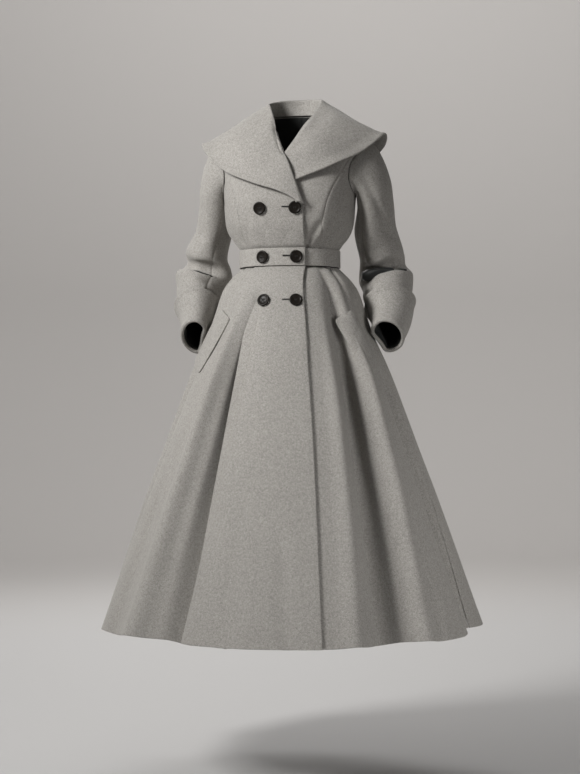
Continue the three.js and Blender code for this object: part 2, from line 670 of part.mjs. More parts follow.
function addBodice() {
  addPiece(
    "bodice_front_right",
    clothPanel({
      surface: rightFrontSurface,
      heights: bodiceHeights,
      from: (z) => insideSeam(bodicePoint, -princessSeam(z), z, 1),
      to: (z) => bodiceFrontLimit(rightFrontSurface, z, "right"),
      columns: bodiceColumns(FRONT_DEGREES),
    }),
    wool,
  );
  addPiece(
    "bodice_front_left",
    clothPanel({
      surface: bodicePoint,
      heights: bodiceHeights,
      from: (z) => bodiceFrontLimit(bodicePoint, z, "left"),
      to: (z) => insideSeam(bodicePoint, princessSeam(z), z, -1),
      columns: bodiceColumns(FRONT_DEGREES),
    }),
    wool,
  );
  for (const { name, sign } of [
    { name: "right", sign: -1 },
    { name: "left", sign: 1 },
  ]) {
    const armholeEdge = (z, way) => sign * (SIDE_ANGLE + way * armholeAngle(z));
    addPiece(
      `bodice_side_front_${name}`,
      clothPanel({
        surface: bodicePoint,
        heights: bodiceHeights.slice(0, -1),
        from: (z) => insideSeam(bodicePoint, sign * princessSeam(z), z, sign),
        to: (z) => insideSeam(bodicePoint, armholeEdge(z, -1), z, -sign),
        columns: bodiceColumns(SIDE_FRONT_DEGREES),
      }),
      wool,
    );
    addPiece(
      `bodice_back_${name}`,
      clothPanel({
        surface: bodicePoint,
        heights: bodiceHeights,
        from: (z) => insideSeam(bodicePoint, armholeEdge(z, 1), z, sign),
        to: (z) => insideSeam(bodicePoint, sign * CENTRE_BACK_ANGLE, z, -sign),
        columns: bodiceColumns(BACK_DEGREES),
      }),
      wool,
    );
  }
}

// Waistband
const waistHeights = spread(WAIST_BOTTOM_Z + SEAM_GAP / 2, WAIST_TOP_Z - SEAM_GAP / 2, 2);
const band = (angle, z) => bodicePoint(angle, z, WAISTBAND_LIFT);
const overBand = (angle, z) => bodicePoint(angle, z, WAISTBAND_LIFT + overlapLift(bodicePoint, angle, z));

function addWaistband() {
  addPiece(
    "waistband_front_right",
    clothPanel({
      surface: overBand,
      heights: waistHeights,
      from: (z) => insideSeam(band, -SIDE_ANGLE, z, 1),
      to: (z) => frontEdgeAngle(overBand, z),
      columns: bodiceColumns(BAND_FRONT_DEGREES),
    }),
    wool,
  );
  addPiece(
    "waistband_front_left",
    clothPanel({
      surface: band,
      heights: waistHeights,
      from: (z) => underEdgeAngle(band, z),
      to: (z) => insideSeam(band, SIDE_ANGLE, z, -1),
      columns: bodiceColumns(BAND_FRONT_DEGREES),
    }),
    wool,
  );
  addPiece(
    "waistband_back",
    clothPanel({
      surface: band,
      heights: waistHeights,
      from: (z) => insideSeam(band, SIDE_ANGLE, z, 1),
      to: (z) => insideSeam(band, 3 * SIDE_ANGLE, z, -1),
      columns: bodiceColumns(BAND_BACK_DEGREES),
    }),
    wool,
  );
}

// Skirt
const skirtHeights = [WAIST_BOTTOM_Z - SEAM_GAP / 2, ...SKIRT_ROW_HEIGHTS, HEM_Z];
const overSkirt = (angle, z) => skirtPoint(angle, z, overlapLift(skirtPoint, angle, z));

function skirtColumns(degrees) {
  return Math.round(degrees / SKIRT_DEGREES_PER_COLUMN);
}

function addSkirt() {
  addPiece(
    "skirt_front_right",
    clothPanel({
      surface: overSkirt,
      heights: skirtHeights,
      from: (z) => insideSeam(skirtPoint, -SIDE_ANGLE, z, 1),
      to: (z) => frontEdgeAngle(overSkirt, z),
      columns: skirtColumns(SKIRT_FRONT_DEGREES),
    }),
    wool,
  );
  addPiece(
    "skirt_front_left",
    clothPanel({
      surface: skirtPoint,
      heights: skirtHeights,
      from: (z) => underEdgeAngle(skirtPoint, z),
      to: (z) => insideSeam(skirtPoint, SIDE_ANGLE, z, -1),
      columns: skirtColumns(SKIRT_FRONT_DEGREES),
    }),
    wool,
  );
  addPiece(
    "skirt_back_left",
    clothPanel({
      surface: skirtPoint,
      heights: skirtHeights,
      from: (z) => insideSeam(skirtPoint, SIDE_ANGLE, z, 1),
      to: (z) => insideSeam(skirtPoint, CENTRE_BACK_ANGLE, z, -1),
      columns: skirtColumns(BACK_DEGREES),
    }),
    wool,
  );
  addPiece(
    "skirt_back_right",
    clothPanel({
      surface: skirtPoint,
      heights: skirtHeights,
      from: (z) => insideSeam(skirtPoint, CENTRE_BACK_ANGLE, z, 1),
      to: (z) => insideSeam(skirtPoint, 3 * SIDE_ANGLE, z, -1),
      columns: skirtColumns(BACK_DEGREES),
    }),
    wool,
  );
}

// Collar
function neckPoint(neck) {
  if ("angle" in neck) return { surface: bodicePoint, angle: neck.angle, z: NECK_Z };
  if ("right" in neck) {
    const angle = angleAtX(rightFrontSurface, neckEdge.right(neck.right), neck.right);
    return { surface: rightFrontSurface, angle, z: neck.right };
  }
  const angle = angleAtX(bodicePoint, neckEdge.left(neck.left), neck.left);
  return { surface: bodicePoint, angle, z: neck.left };
}

// The four lines that the collar's sections hang on, each a smooth curve along the collar. They
// all reach a station at the same share.
function collarLines() {
  const seats = COLLAR_STATIONS.map(({ neck }) => {
    const { surface, angle, z } = neckPoint(neck);
    return { point: surface(angle, z), normal: normalAt(surface, angle, z) };
  });
  const feet = seats.map((seat, i) => {
    const before = seats[Math.max(i - 1, 0)].point;
    const after = seats[Math.min(i + 1, seats.length - 1)].point;
    const run = after.clone().sub(before);
    const intoNeck = run.cross(seat.normal).normalize();
    const foot = seat.point.clone().addScaledVector(intoNeck, COLLAR_SEAT);
    return foot.addScaledVector(seat.normal, COLLAR_SEAT_LIFT);
  });
  const column = (name) => COLLAR_STATIONS.map((station) => new THREE.Vector3(...station[name]));
  const at = lengthShares(column("middle"));
  return [feet, column("roll"), column("middle"), column("edge")].map((points) => pointCurve(points, at));
}

const collarCurves = collarLines();

// The middle of the collar's cloth: along runs from the right end to the left, and across from
// the neck over the roll to the outer edge
function collarPoint(along, across) {
  const [foot, roll, middle, edge] = collarCurves.map((curve) => curve(along));
  const stand = foot.clone().lerp(roll, COLLAR_STAND);
  const turn = roll.clone().lerp(middle, COLLAR_TURN);
  const point = quadraticSpline([foot, stand, roll, turn, middle, edge], across);
  const falling = smooth((across - COLLAR_FALL_START) / COLLAR_FALL_BLEND);
  if (falling === 0) return point;
  const clear = keepClear(point.clone(), COLLAR_CLEAR, COLLAR_SOFTNESS, along < COLLAR_LEFT_START);
  return point.lerp(clear, falling);
}

// A clamped quadratic B-spline through a row of control points
function quadraticSpline(controls, share) {
  const spans = controls.length - 2;
  const at = Math.min(Math.max(share, 0), 1) * spans;
  const i = Math.min(Math.floor(at), spans - 1);
  const t = at - i;
  const start = i === 0 ? controls[0] : controls[i].clone().lerp(controls[i + 1], 0.5);
  const end = i === spans - 1 ? controls[i + 2] : controls[i + 1].clone().lerp(controls[i + 2], 0.5);
  return start
    .clone()
    .multiplyScalar((1 - t) ** 2)
    .addScaledVector(controls[i + 1], 2 * t * (1 - t))
    .addScaledVector(end, t * t);
}

function addCollar() {
  const outer = [];
  const inner = [];
  for (const across of COLLAR_ROWS) {
    const outerRow = [];
    const innerRow = [];
    for (const along of spread(0, 1, COLLAR_COLUMNS)) {
      const inside = Math.min(Math.max(along, 2 * NORMAL_STEP), 1 - 2 * NORMAL_STEP);
      const held = Math.min(Math.max(across, 2 * NORMAL_STEP), 1 - 2 * NORMAL_STEP);
      const point = collarPoint(along, across);
      const normal = normalAt(collarPoint, inside, held, NORMAL_STEP, NORMAL_STEP);
      outerRow.push(point.clone().addScaledVector(normal, COLLAR_CLOTH / 2));
      innerRow.push(point.clone().addScaledVector(normal, -COLLAR_CLOTH / 2));
    }
    outer.push(outerRow);
    inner.push(innerRow);
  }
  addPiece("collar", wallGeometry(outer, inner), wool);
}

// Sleeves
function sleeveShape(side) {
  const sign = side === "left" ? 1 : -1;
  const table = SLEEVES[side];
  const points = table.map(({ x, y, z }) => new THREE.Vector3(x, y, z));
  const at = lengthShares(points);
  const rows = table.map((row, i) => ({ ...row, at: at[i] }));
  const widths = tableCurves(rows, ["out", "in", "across"], "at");
  return { sign, centre: pointCurve(points, at), widths, folds: ELBOW_FOLDS[side] };
}

// A point of the armhole's edge, with the bodice's normal there. around is 0 at the shoulder tip,
// 90 in front and 180 at the armpit.
function armholeRim(shape, around) {
  const turned = turnBetween(around, 0);
  const z = armholeHeight(Math.abs(turned) / 180);
  const angle = shape.sign * (SIDE_ANGLE - Math.sign(turned) * armholeAngle(z));
  const normal = normalAt(bodicePoint, angle, z);
  if (normal.x * shape.sign < 0) normal.negate();
  return { point: bodicePoint(angle, z), normal };
}

function elbowFoldDepth(shape, share, around) {
  return shape.folds.reduce((sum, fold) => {
    const turned = turnBetween(around, fold.angle);
    const along = (share - fold.at - fold.slope * turned) / fold.width;
    const fade = smooth((1 - Math.abs(turned) / fold.reach) * ELBOW_FOLD_END);
    return sum + fold.depth * bell(along) * fade;
  }, 0);
}

const cuffFlare = (share) => CUFF_FLARE * (1 - smooth((share - CUFF_START) / (1 - CUFF_START)));

// The outside of a sleeve. share runs from the armhole to the mouth, and around is 0 on the
// outside, 90 in front and 180 towards the body.
function sleevePoint(shape, share, around) {
  const centre = shape.centre(share);
  const along = curveDirection(shape.centre, share);
  const out = new THREE.Vector3(shape.sign, 0, 0);
  out.addScaledVector(along, -out.dot(along)).normalize();
  const front = new THREE.Vector3().crossVectors(along, out).multiplyScalar(shape.sign);
  const c = Math.cos(radians(around));
  const s = Math.sin(radians(around));
  const dent = elbowFoldDepth(shape, share, around);
  const sideways = (c > 0 ? shape.widths.out(share) : shape.widths.in(share)) - dent;
  const across = shape.widths.across(share) - dent;
  const tube = centre.addScaledVector(out, sideways * c).addScaledVector(front, across * s);
  const nearCuff = smooth((share - CUFF_CLEAR_START) / (CUFF_START - CUFF_CLEAR_START));
  const clearance = SLEEVE_CLEAR + (CUFF_CLEAR + cuffFlare(share) - SLEEVE_CLEAR) * nearCuff;
  if (share >= SLEEVE_CAP) return keepClear(tube, clearance, SLEEVE_SOFTNESS, true);
  const t = share / SLEEVE_CAP;
  const rim = armholeRim(shape, around);
  const root = rim.point.addScaledVector(rim.normal, SLEEVE_SEAT + SLEEVE_CAP_RISE * t);
  const rootClearance = SLEEVE_SEAT + (clearance - SLEEVE_SEAT) * t;
  return keepClear(root.lerp(tube, smooth(t)), rootClearance, ROOT_SOFTNESS + SLEEVE_SOFTNESS * t, false);
}

// The outward normal of a sleeve
function sleeveNormal(shape, share, around) {
  const surface = (a, b) => sleevePoint(shape, b, a);
  const held = Math.min(share, 1 - 2 * NORMAL_STEP);
  return normalAt(surface, around, held, SLEEVE_ANGLE_STEP, NORMAL_STEP).multiplyScalar(shape.sign);
}

const wholeRing = spread(0, 360, SLEEVE_STEPS).slice(0, -1);

// A ring of a sleeve, or of the part between two seams, at a share of the sleeve's length. Each
// point has the normal there and, at a seam, a small step away from it.
function sleeveRing(shape, share, panel) {
  const turns = panel ? spread(panel.from, panel.to, panelSteps(panel)) : wholeRing;
  return turns.map((around, j) => {
    const point = sleevePoint(shape, share, around);
    const run = sleevePoint(shape, share, around + SLEEVE_ANGLE_STEP).sub(point);
    const step = run.setLength((seamSide(panel, j) * SLEEVE_SEAM_GAP) / 2);
    return { point, step, normal: sleeveNormal(shape, share, around) };
  });
}

const panelSteps = (panel) => Math.round((panel.to - panel.from) / SLEEVE_STEP_ANGLE);

function seamSide(panel, j) {
  if (!panel || (j > 0 && j < panelSteps(panel))) return 0;
  return j === 0 ? 1 : -1;
}

// The points that lie so far out from a ring
const ringPoints = (ring, offset) =>
  ring.map(({ point, step, normal }) => point.clone().add(step).addScaledVector(normal, offset));

// The sleeve's edge at the armhole. It lies on the bodice, out from the armhole by so much.
function sleeveRoot(shape, out, panel) {
  return spread(panel.from, panel.to, panelSteps(panel)).map((around, j) => {
    const rim = armholeRim(shape, around);
    const run = armholeRim(shape, around + SLEEVE_ANGLE_STEP).point.sub(rim.point);
    const step = run.clone().setLength((seamSide(panel, j) * SLEEVE_SEAM_GAP) / 2);
    const away = run.cross(rim.normal).normalize().multiplyScalar(shape.sign);
    return rim.point.add(step).addScaledVector(rim.normal, SLEEVE_SEAT).addScaledVector(away, out);
  });
}

function addSleeves() {
  const cuffShares = spread(CUFF_START, 1, CUFF_ROWS);
  const liningShares = cuffShares.slice(-1 - LINING_ROWS);
  for (const side of ["right", "left"]) {
    const shape = sleeveShape(side);
    const shares = [...SLEEVE_SHARES, ...cuffShares];
    for (const panel of SLEEVE_PANELS) {
      const rings = shares.map((share) => sleeveRing(shape, share, panel));
      const sleeve = wallGeometry(
        [sleeveRoot(shape, CLOTH, panel), ...rings.map((ring) => ringPoints(ring, 0))],
        [sleeveRoot(shape, 0, panel), ...rings.map((ring) => ringPoints(ring, -CLOTH))],
      );
      addPiece(`${panel.name}_${side}`, sleeve, wool);
    }
    const cuffInside = (share) => CUFF_GAP + cuffFlare(share);
    const cuff = wallGeometry(
      cuffShares.map((share) => ringPoints(sleeveRing(shape, share), cuffInside(share) + CLOTH)),
      cuffShares.map((share) => ringPoints(sleeveRing(shape, share), cuffInside(share))),
      true,
    );
    addPiece(`cuff_${side}`, cuff, wool);
    const liningOutside = (share) => -CLOTH - (share === liningShares[0] ? LINING_SEAT : LINING_GAP);
    const liningRing = (share, inwards) =>
      ringPoints(sleeveRing(shape, share), liningOutside(share) - inwards);
    const cuffLining = wallGeometry(
      liningShares.map((share) => liningRing(share, 0)),
      liningShares.map((share) => liningRing(share, LINING_CLOTH)),
      true,
    );
    addPiece(`cuff_lining_${side}`, cuffLining, lining);
  }
}

// Pocket welts
function addWelts() {
  const turn = radians(WELT_TURN);
  for (const { name, sign, angle, z } of WELT_CORNERS) {
    const surface = name === "right" ? overSkirt : skirtPoint;
    const corner = surface(angle, z);
    const radius = Math.hypot(corner.x, corner.y) + WELT_FLARE;
    // over runs from the sewn edge to the mouth edge, and down from the upper end to the lower
    const weltPoint = (over, down) => {
      const length = WELT_LENGTH * down;
      const width = WELT_WIDTH * (1 - over);
      const back = length * Math.sin(turn) - width * Math.cos(turn);
      const drop = length * Math.cos(turn) + width * Math.sin(turn);
      const at = angle + sign * THREE.MathUtils.radToDeg(back / radius);
      const point = surface(at, z - drop);
      const lift = WELT_MOUTH_LIFT * smooth(over) * Math.sin(Math.PI * down);
      return point.addScaledVector(normalAt(surface, at, z - drop), WELT_GAP + lift);
    };
    const face = (offset) =>
      spread(0, 1, WELT_ROWS).map((down) =>
        spread(0, 1, WELT_COLUMNS).map((over) => {
          const normal = normalAt(weltPoint, over, down, NORMAL_STEP, NORMAL_STEP);
          return weltPoint(over, down).addScaledVector(normal, -sign * offset);
        }),
      );
    addPiece(`pocket_welt_${name}`, wallGeometry(face(CLOTH), face(0)), wool);
  }
}

// Buttons: a disc on a short shank
function buttonGeometry() {
  const profile = BUTTON_PROFILE.map(({ out, up }) => new THREE.Vector2(BUTTON_RADIUS * out, up));
  return new THREE.LatheGeometry(profile, BUTTON_SIDES).rotateX(Math.PI / 2);
}

function addButtons() {
  const surfaces = { top: rightFrontSurface, waist: overBand, bottom: overSkirt };
  for (const row of BUTTON_ROWS) {
    for (const side of ["right", "left"]) {
      const surface = surfaces[row.name];
      const angle = angleAtX(surface, row[side], row.z);
      const normal = normalAt(surface, angle, row.z, BUTTON_ANGLE_STEP, BUTTON_HEIGHT_STEP);
      const button = addPiece(`button_${row.name}_${side}`, buttonGeometry(), polished);
      button.quaternion.setFromUnitVectors(new THREE.Vector3(0, 0, 1), normal);
      button.position.copy(surface(angle, row.z)).addScaledVector(normal, SEAM_GAP);
    }
  }
}

addBodice();
addWaistband();
addSkirt();
addCollar();
addSleeves();
addWelts();
addButtons();

export default group;
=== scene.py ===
"""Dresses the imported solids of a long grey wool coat: cloth, folds, stitching, buttons and light."""

import logging
import math
from dataclasses import dataclass, field, replace
from enum import Enum
from typing import Callable, Optional, Sequence, Union

import bpy
import numpy as np
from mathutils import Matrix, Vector


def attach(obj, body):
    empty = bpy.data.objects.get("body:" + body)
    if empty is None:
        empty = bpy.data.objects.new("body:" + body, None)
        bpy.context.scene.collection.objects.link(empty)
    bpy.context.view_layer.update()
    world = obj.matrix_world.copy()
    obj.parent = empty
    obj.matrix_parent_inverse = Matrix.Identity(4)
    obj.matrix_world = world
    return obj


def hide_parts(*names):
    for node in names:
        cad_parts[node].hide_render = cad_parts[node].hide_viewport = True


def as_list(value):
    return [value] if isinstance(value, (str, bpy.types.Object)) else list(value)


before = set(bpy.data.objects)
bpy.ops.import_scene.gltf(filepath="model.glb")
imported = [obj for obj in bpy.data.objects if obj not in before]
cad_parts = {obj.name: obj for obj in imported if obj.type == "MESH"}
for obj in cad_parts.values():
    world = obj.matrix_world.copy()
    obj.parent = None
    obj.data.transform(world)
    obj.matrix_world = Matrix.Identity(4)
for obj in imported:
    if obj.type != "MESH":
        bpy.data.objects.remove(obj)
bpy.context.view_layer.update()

log = logging.getLogger("coat")

Array = np.ndarray
Surface = Callable[[Array, Array], Array]
Colour = tuple[float, float, float, float]

# Millimetres, with +Z up, -Y in front and +X to the wearer's left
MM = 0.001
CLOTH = 3.0
SEAM_GAP = 0.1
NECK_Z = -3.0
SHOULDER_TIP_Z = -57.0
ARMPIT_Z = -178.0
BREAK_Z = -212.0
WAIST_TOP_Z = -310.0
WAIST_BOTTOM_Z = -352.0
HEM_Z = -1201.0
FLOOR_Z = -1560.0
WAISTBAND_LIFT = 1.0
STITCH_INSET = 9.0
LAP_LIFT = 4.6
LAP_SWELL = 5.0
ARMHOLE_HALF_TURN = 31.0
LINING_CLOTH = 0.7
SEAM_DIP_REACH = 3.2
DRAG_FOLD_RUN = 2.3
PATH_POINTS = 33

# Sections of the body at heights z: half widths, and how far each is raised behind, squared and moved
BODICE_SECTIONS = {
    "z": (-352, -331, -310, -298, -284, -266, -247, -205, -175, -140, -100, -72, -55, -42, -28, -12, 0),
    "side": (121, 120, 121, 127, 139, 149, 154, 157, 159, 165, 177, 187, 190, 166, 131, 92, 68),
    "front": (104, 103, 103, 107, 112, 118, 122, 126, 123, 117, 108, 98, 90, 84, 77, 68, 60),
    "back": (92, 90, 90, 94, 99, 103, 105, 107, 108, 107, 102, 95, 88, 84, 80, 75, 70),
    "rise": (0, 0, 0, 0, 0, 0, 0, 0, 0, 0, 0, 0, 4, 10, 16, 22, 26),
    "square": (
        0.02, 0.02, 0.02, 0.03, 0.03, 0.04, 0.05, 0.06, 0.06, 0.06, 0.05, 0.04, 0.03, 0.02, 0.02, 0.01, 0,
    ),
    "shift": (0, 0, 0, 0, 0, 0, 0, 0, 1, 3, 5, 7, 8, 9, 10, 10, 10),
}
SKIRT_SECTIONS = {
    "z": (-1201, -1104, -1010, -900, -790, -679, -557, -451, -403, -377, -360, -352),
    "side": (462, 427, 394, 354, 312, 271, 225, 184, 163, 143, 126, 121),
    "front": (420, 388, 356, 318, 279, 241, 199, 162, 143, 125, 109, 104),
    "back": (425, 392, 358, 320, 282, 244, 202, 163, 140, 117, 98, 92),
}
# How far each front laps past the middle, the neck edges' x, and the princess seams' angle
FRONT_EDGE = {"z": (-1201, -800, -500, -352, -212), "over": (156, 112, 74, 57, 57)}
NECK_EDGE = {
    "z": (-212, -180, -152, -111, -93, -60, -30, -3),
    "right": (52, 41, 30, 12, 3, -14, -32, -46),
    "left": (-57, -36, -18, 9, 21, 39, 54, 65),
}
PRINCESS_SEAM = {
    "z": (-352, -310, -250, -200, -150, -100, -57, -28, -3),
    "angle": (43, 43, 38, 41, 48, 55, 64, 79, 86),
}


@dataclass(frozen=True)
class SkirtFold:
    """A valley of the skirt, with its angle at the waist and at the hem."""

    waist: float
    hem: float
    width: float
    depth: float
    start: float
    growth: float


SKIRT_FOLDS = (
    SkirtFold(-14, -30, 10, 40, -400, 0.9),
    SkirtFold(47, 44, 9, 52, -356, 0.62),
    SkirtFold(72, 85, 7.5, 44, -420, 0.8),
    SkirtFold(112, 119, 9, 42, -372, 0.7),
    SkirtFold(148, 150, 9, 46, -366, 0.7),
    SkirtFold(182, 182, 9, 48, -360, 0.7),
    SkirtFold(214, 213, 9, 45, -368, 0.7),
    SkirtFold(246, 243, 9, 43, -374, 0.7),
    SkirtFold(283, 272, 8.5, 38, -410, 0.8),
)
# Where the sleeves press on the skirt: angle, height, half turn, half drop, depth
SLEEVE_DENTS = ((-84, -495, 20, 70, 11), (84, -500, 17, 60, 11))
# Drag folds above the waist: angle and height at both ends, width, depth
BODICE_FOLDS = (
    (48, -304, 62, -222, 10, 6),
    (66, -300, 86, -240, 10, 6),
    (-48, -304, -60, -240, 10, 4),
    (128, -304, 112, -236, 11, 5),
    (-128, -304, -112, -236, 11, 5),
)
# Sleeve sections by side: x, y, z of the centre, half width outwards, inwards, and from front to back
SLEEVE_TABLES = {
    1: (
        (174, 2, -120, 56, 54, 54),
        (190, 12, -146, 51, 48, 58),
        (199, 36, -196, 46, 43, 60),
        (197, 62, -262, 52, 50, 60),
        (208, 87, -318, 55, 53, 64),
        (214, 97, -372, 69, 66, 68),
        (224, 70, -420, 61, 58, 64),
        (236, 35, -470, 47, 42, 54),
        (236, -13, -514, 38, 33, 46),
    ),
    -1: (
        (-163, 2, -120, 56, 54, 54),
        (-176, 14, -146, 49, 48, 58),
        (-190, 40, -200, 43, 43, 60),
        (-204, 59, -262, 44, 43, 60),
        (-224, 66, -318, 54, 52, 64),
        (-226, 62, -368, 68, 66, 68),
        (-232, 32, -420, 57, 52, 62),
        (-221, -11, -470, 42, 32, 54),
        (-213, -66, -515, 34, 26, 46),
    ),
}
# Folds at the elbow: share of the length, angle, reach round, width, depth, slope
ELBOW_FOLDS = {
    1: ((0.535, 95, 95, 0.036, 13, 0.0003), (0.66, 160, 60, 0.036, 9, -0.0002)),
    -1: ((0.535, 90, 95, 0.036, 13, 0.0003), (0.66, 150, 60, 0.036, 10, -0.0002)),
}
# Collar sections: the kind of place on the neck edge with its height or angle, then roll, middle and edge
COLLAR_STATIONS = (
    (("right", -206), (58, -131, -211), (52, -134, -206), (45, -133, -202)),
    (("right", -160), (40, -133, -160), (21, -139, -170), (2, -137, -181)),
    (("right", -115), (22, -127, -113), (-26, -137, -141), (-60, -133, -161)),
    (("right", -75), (2, -106, -76), (-62, -123, -104), (-116, -108, -138)),
    (("right", -32), (-15, -81, -30), (-92, -92, -56), (-170, -68, -103)),
    (("angle", -52), (-25, -66, 4), (-102, -72, -32), (-192, -46, -82)),
    (("angle", -70), (-34, -48, 27), (-110, -46, -10), (-211, -20, -56)),
    (("angle", -100), (-50, 4, 46), (-120, 18, 6), (-200, 46, -76)),
    (("angle", -142), (-34, 54, 61), (-80, 88, 16), (-122, 108, -112)),
    (("angle", -180), (10, 76, 66), (10, 110, 10), (8, 126, -134)),
    (("angle", -218), (54, 54, 62), (100, 88, 18), (142, 108, -104)),
    (("angle", -260), (73, 6, 50), (138, 18, 14), (220, 46, -62)),
    (("angle", -290), (70, -18, 27), (138, -38, 0), (231, -14, -43)),
    (("angle", -310), (61, -46, 3), (130, -66, -20), (210, -40, -64)),
    (("left", -30), (48, -69, -20), (116, -90, -42), (182, -64, -88)),
    (("left", -62), (30, -96, -58), (80, -112, -80), (128, -100, -118)),
    (("left", -98), (6, -111, -94), (27, -117.5, -122), (36, -121, -158)),
)


def unit(vectors: Array) -> Array:
    """Scales vectors to length 1.

    Args:
        vectors: Any array whose last axis is x, y, z.

    Returns:
        The same directions, one long.
    """
    return vectors / np.maximum(np.linalg.norm(vectors, axis=-1, keepdims=True), 1e-12)


def smooth(share: Array) -> Array:
    """Eases from 0 to 1 with level ends."""
    held = np.clip(share, 0.0, 1.0)
    return held * held * (3.0 - 2.0 * held)


def bell(x: Array) -> Array:
    """A soft hump of height 1."""
    return np.exp(-np.square(x))


def turn_between(angle: Array, start: float) -> Array:
    """The turn from one angle to another, from -180 to 180 degrees."""
    return (angle - start + 180.0) % 360.0 - 180.0


class TableCurve:
    """A smooth curve through one column of a table, that never overshoots a row."""

    def __init__(self, keys: Sequence[float], values: Sequence[float]) -> None:
        """Works out the curve's slope at each row.

        Args:
            keys: The column that the curve is read at.
            values: The column that it gives.
        """
        order = np.argsort(keys)
        self.keys = np.asarray(keys, float)[order]
        self.values = np.asarray(values, float)[order]
        step = np.diff(self.keys)
        slope = np.diff(self.values) / step
        self.tangent = np.zeros_like(self.values)
        self.tangent[0], self.tangent[-1] = slope[0], slope[-1]
        for i in range(1, len(step)):
            if slope[i - 1] * slope[i] > 0:
                near, far = 2 * step[i] + step[i - 1], step[i] + 2 * step[i - 1]
                self.tangent[i] = (near + far) / (near / slope[i - 1] + far / slope[i])

    def __call__(self, at: Array) -> Array:
        """Reads the curve, held at its ends."""
        x = np.clip(at, self.keys[0], self.keys[-1])
        i = np.clip(np.searchsorted(self.keys, x) - 1, 0, len(self.keys) - 2)
        h = self.keys[i + 1] - self.keys[i]
        t = (x - self.keys[i]) / h
        return (
            (2 * t**3 - 3 * t**2 + 1) * self.values[i]
            + (t**3 - 2 * t**2 + t) * h * self.tangent[i]
            + (3 * t**2 - 2 * t**3) * self.values[i + 1]
            + (t**3 - t**2) * h * self.tangent[i + 1]
        )


class PointCurve:
    """A smooth curve through points, read by share of its length."""

    def __init__(self, points: Array, at: Optional[Array] = None) -> None:
        """Works out the curve's direction at each point.

        Args:
            points: The points, one a row.
            at: The share of each point, or none for shares of the row's own length.
        """
        self.points = np.asarray(points, float)
        self.at = length_shares(self.points) if at is None else at
        step = np.diff(self.at)[:, None]
        slope = np.diff(self.points, axis=0) / step
        self.tangent = np.empty_like(self.points)
        self.tangent[0], self.tangent[-1] = slope[0], slope[-1]
        self.tangent[1:-1] = (slope[:-1] * step[1:] + slope[1:] * step[:-1]) / (step[1:] + step[:-1])

    def __call__(self, share: Array) -> Array:
        """Gives the points at some shares."""
        x = np.clip(share, 0.0, 1.0)
        i = np.clip(np.searchsorted(self.at, x) - 1, 0, len(self.at) - 2)
        h = (self.at[i + 1] - self.at[i])[..., None]
        t = (x - self.at[i])[..., None] / h
        return (
            self.points[i] * (2 * t**3 - 3 * t**2 + 1)
            + self.tangent[i] * (t**3 - 2 * t**2 + t) * h
            + self.points[i + 1] * (3 * t**2 - 2 * t**3)
            + self.tangent[i + 1] * (t**3 - t**2) * h
        )

    def direction(self, share: Array) -> Array:
        """Gives the curve's direction at some shares."""
        held = np.clip(share, 1e-3, 1 - 1e-3)
        return unit(self(held + 1e-3) - self(held - 1e-3))


def length_shares(points: Array) -> Array:
    """Gives each point's share of the row's own length."""
    steps = np.linalg.norm(np.diff(points, axis=0), axis=1)
    return np.concatenate([[0.0], np.cumsum(steps)]) / steps.sum()


def normal_at(surface: Surface, a: Array, b: Array, step_a: float = 0.2, step_b: float = 0.5) -> Array:
    """Gives a surface's normals by small steps.

    Args:
        surface: A surface of two numbers.
        a: The first numbers.
        b: The second numbers.
        step_a: The step of the first.
        step_b: The step of the second.

    Returns:
        One unit vector for each pair.
    """
    along = surface(a + step_a, b) - surface(a - step_a, b)
    up = surface(a, b + step_b) - surface(a, b - step_b)
    return unit(np.cross(along, up))


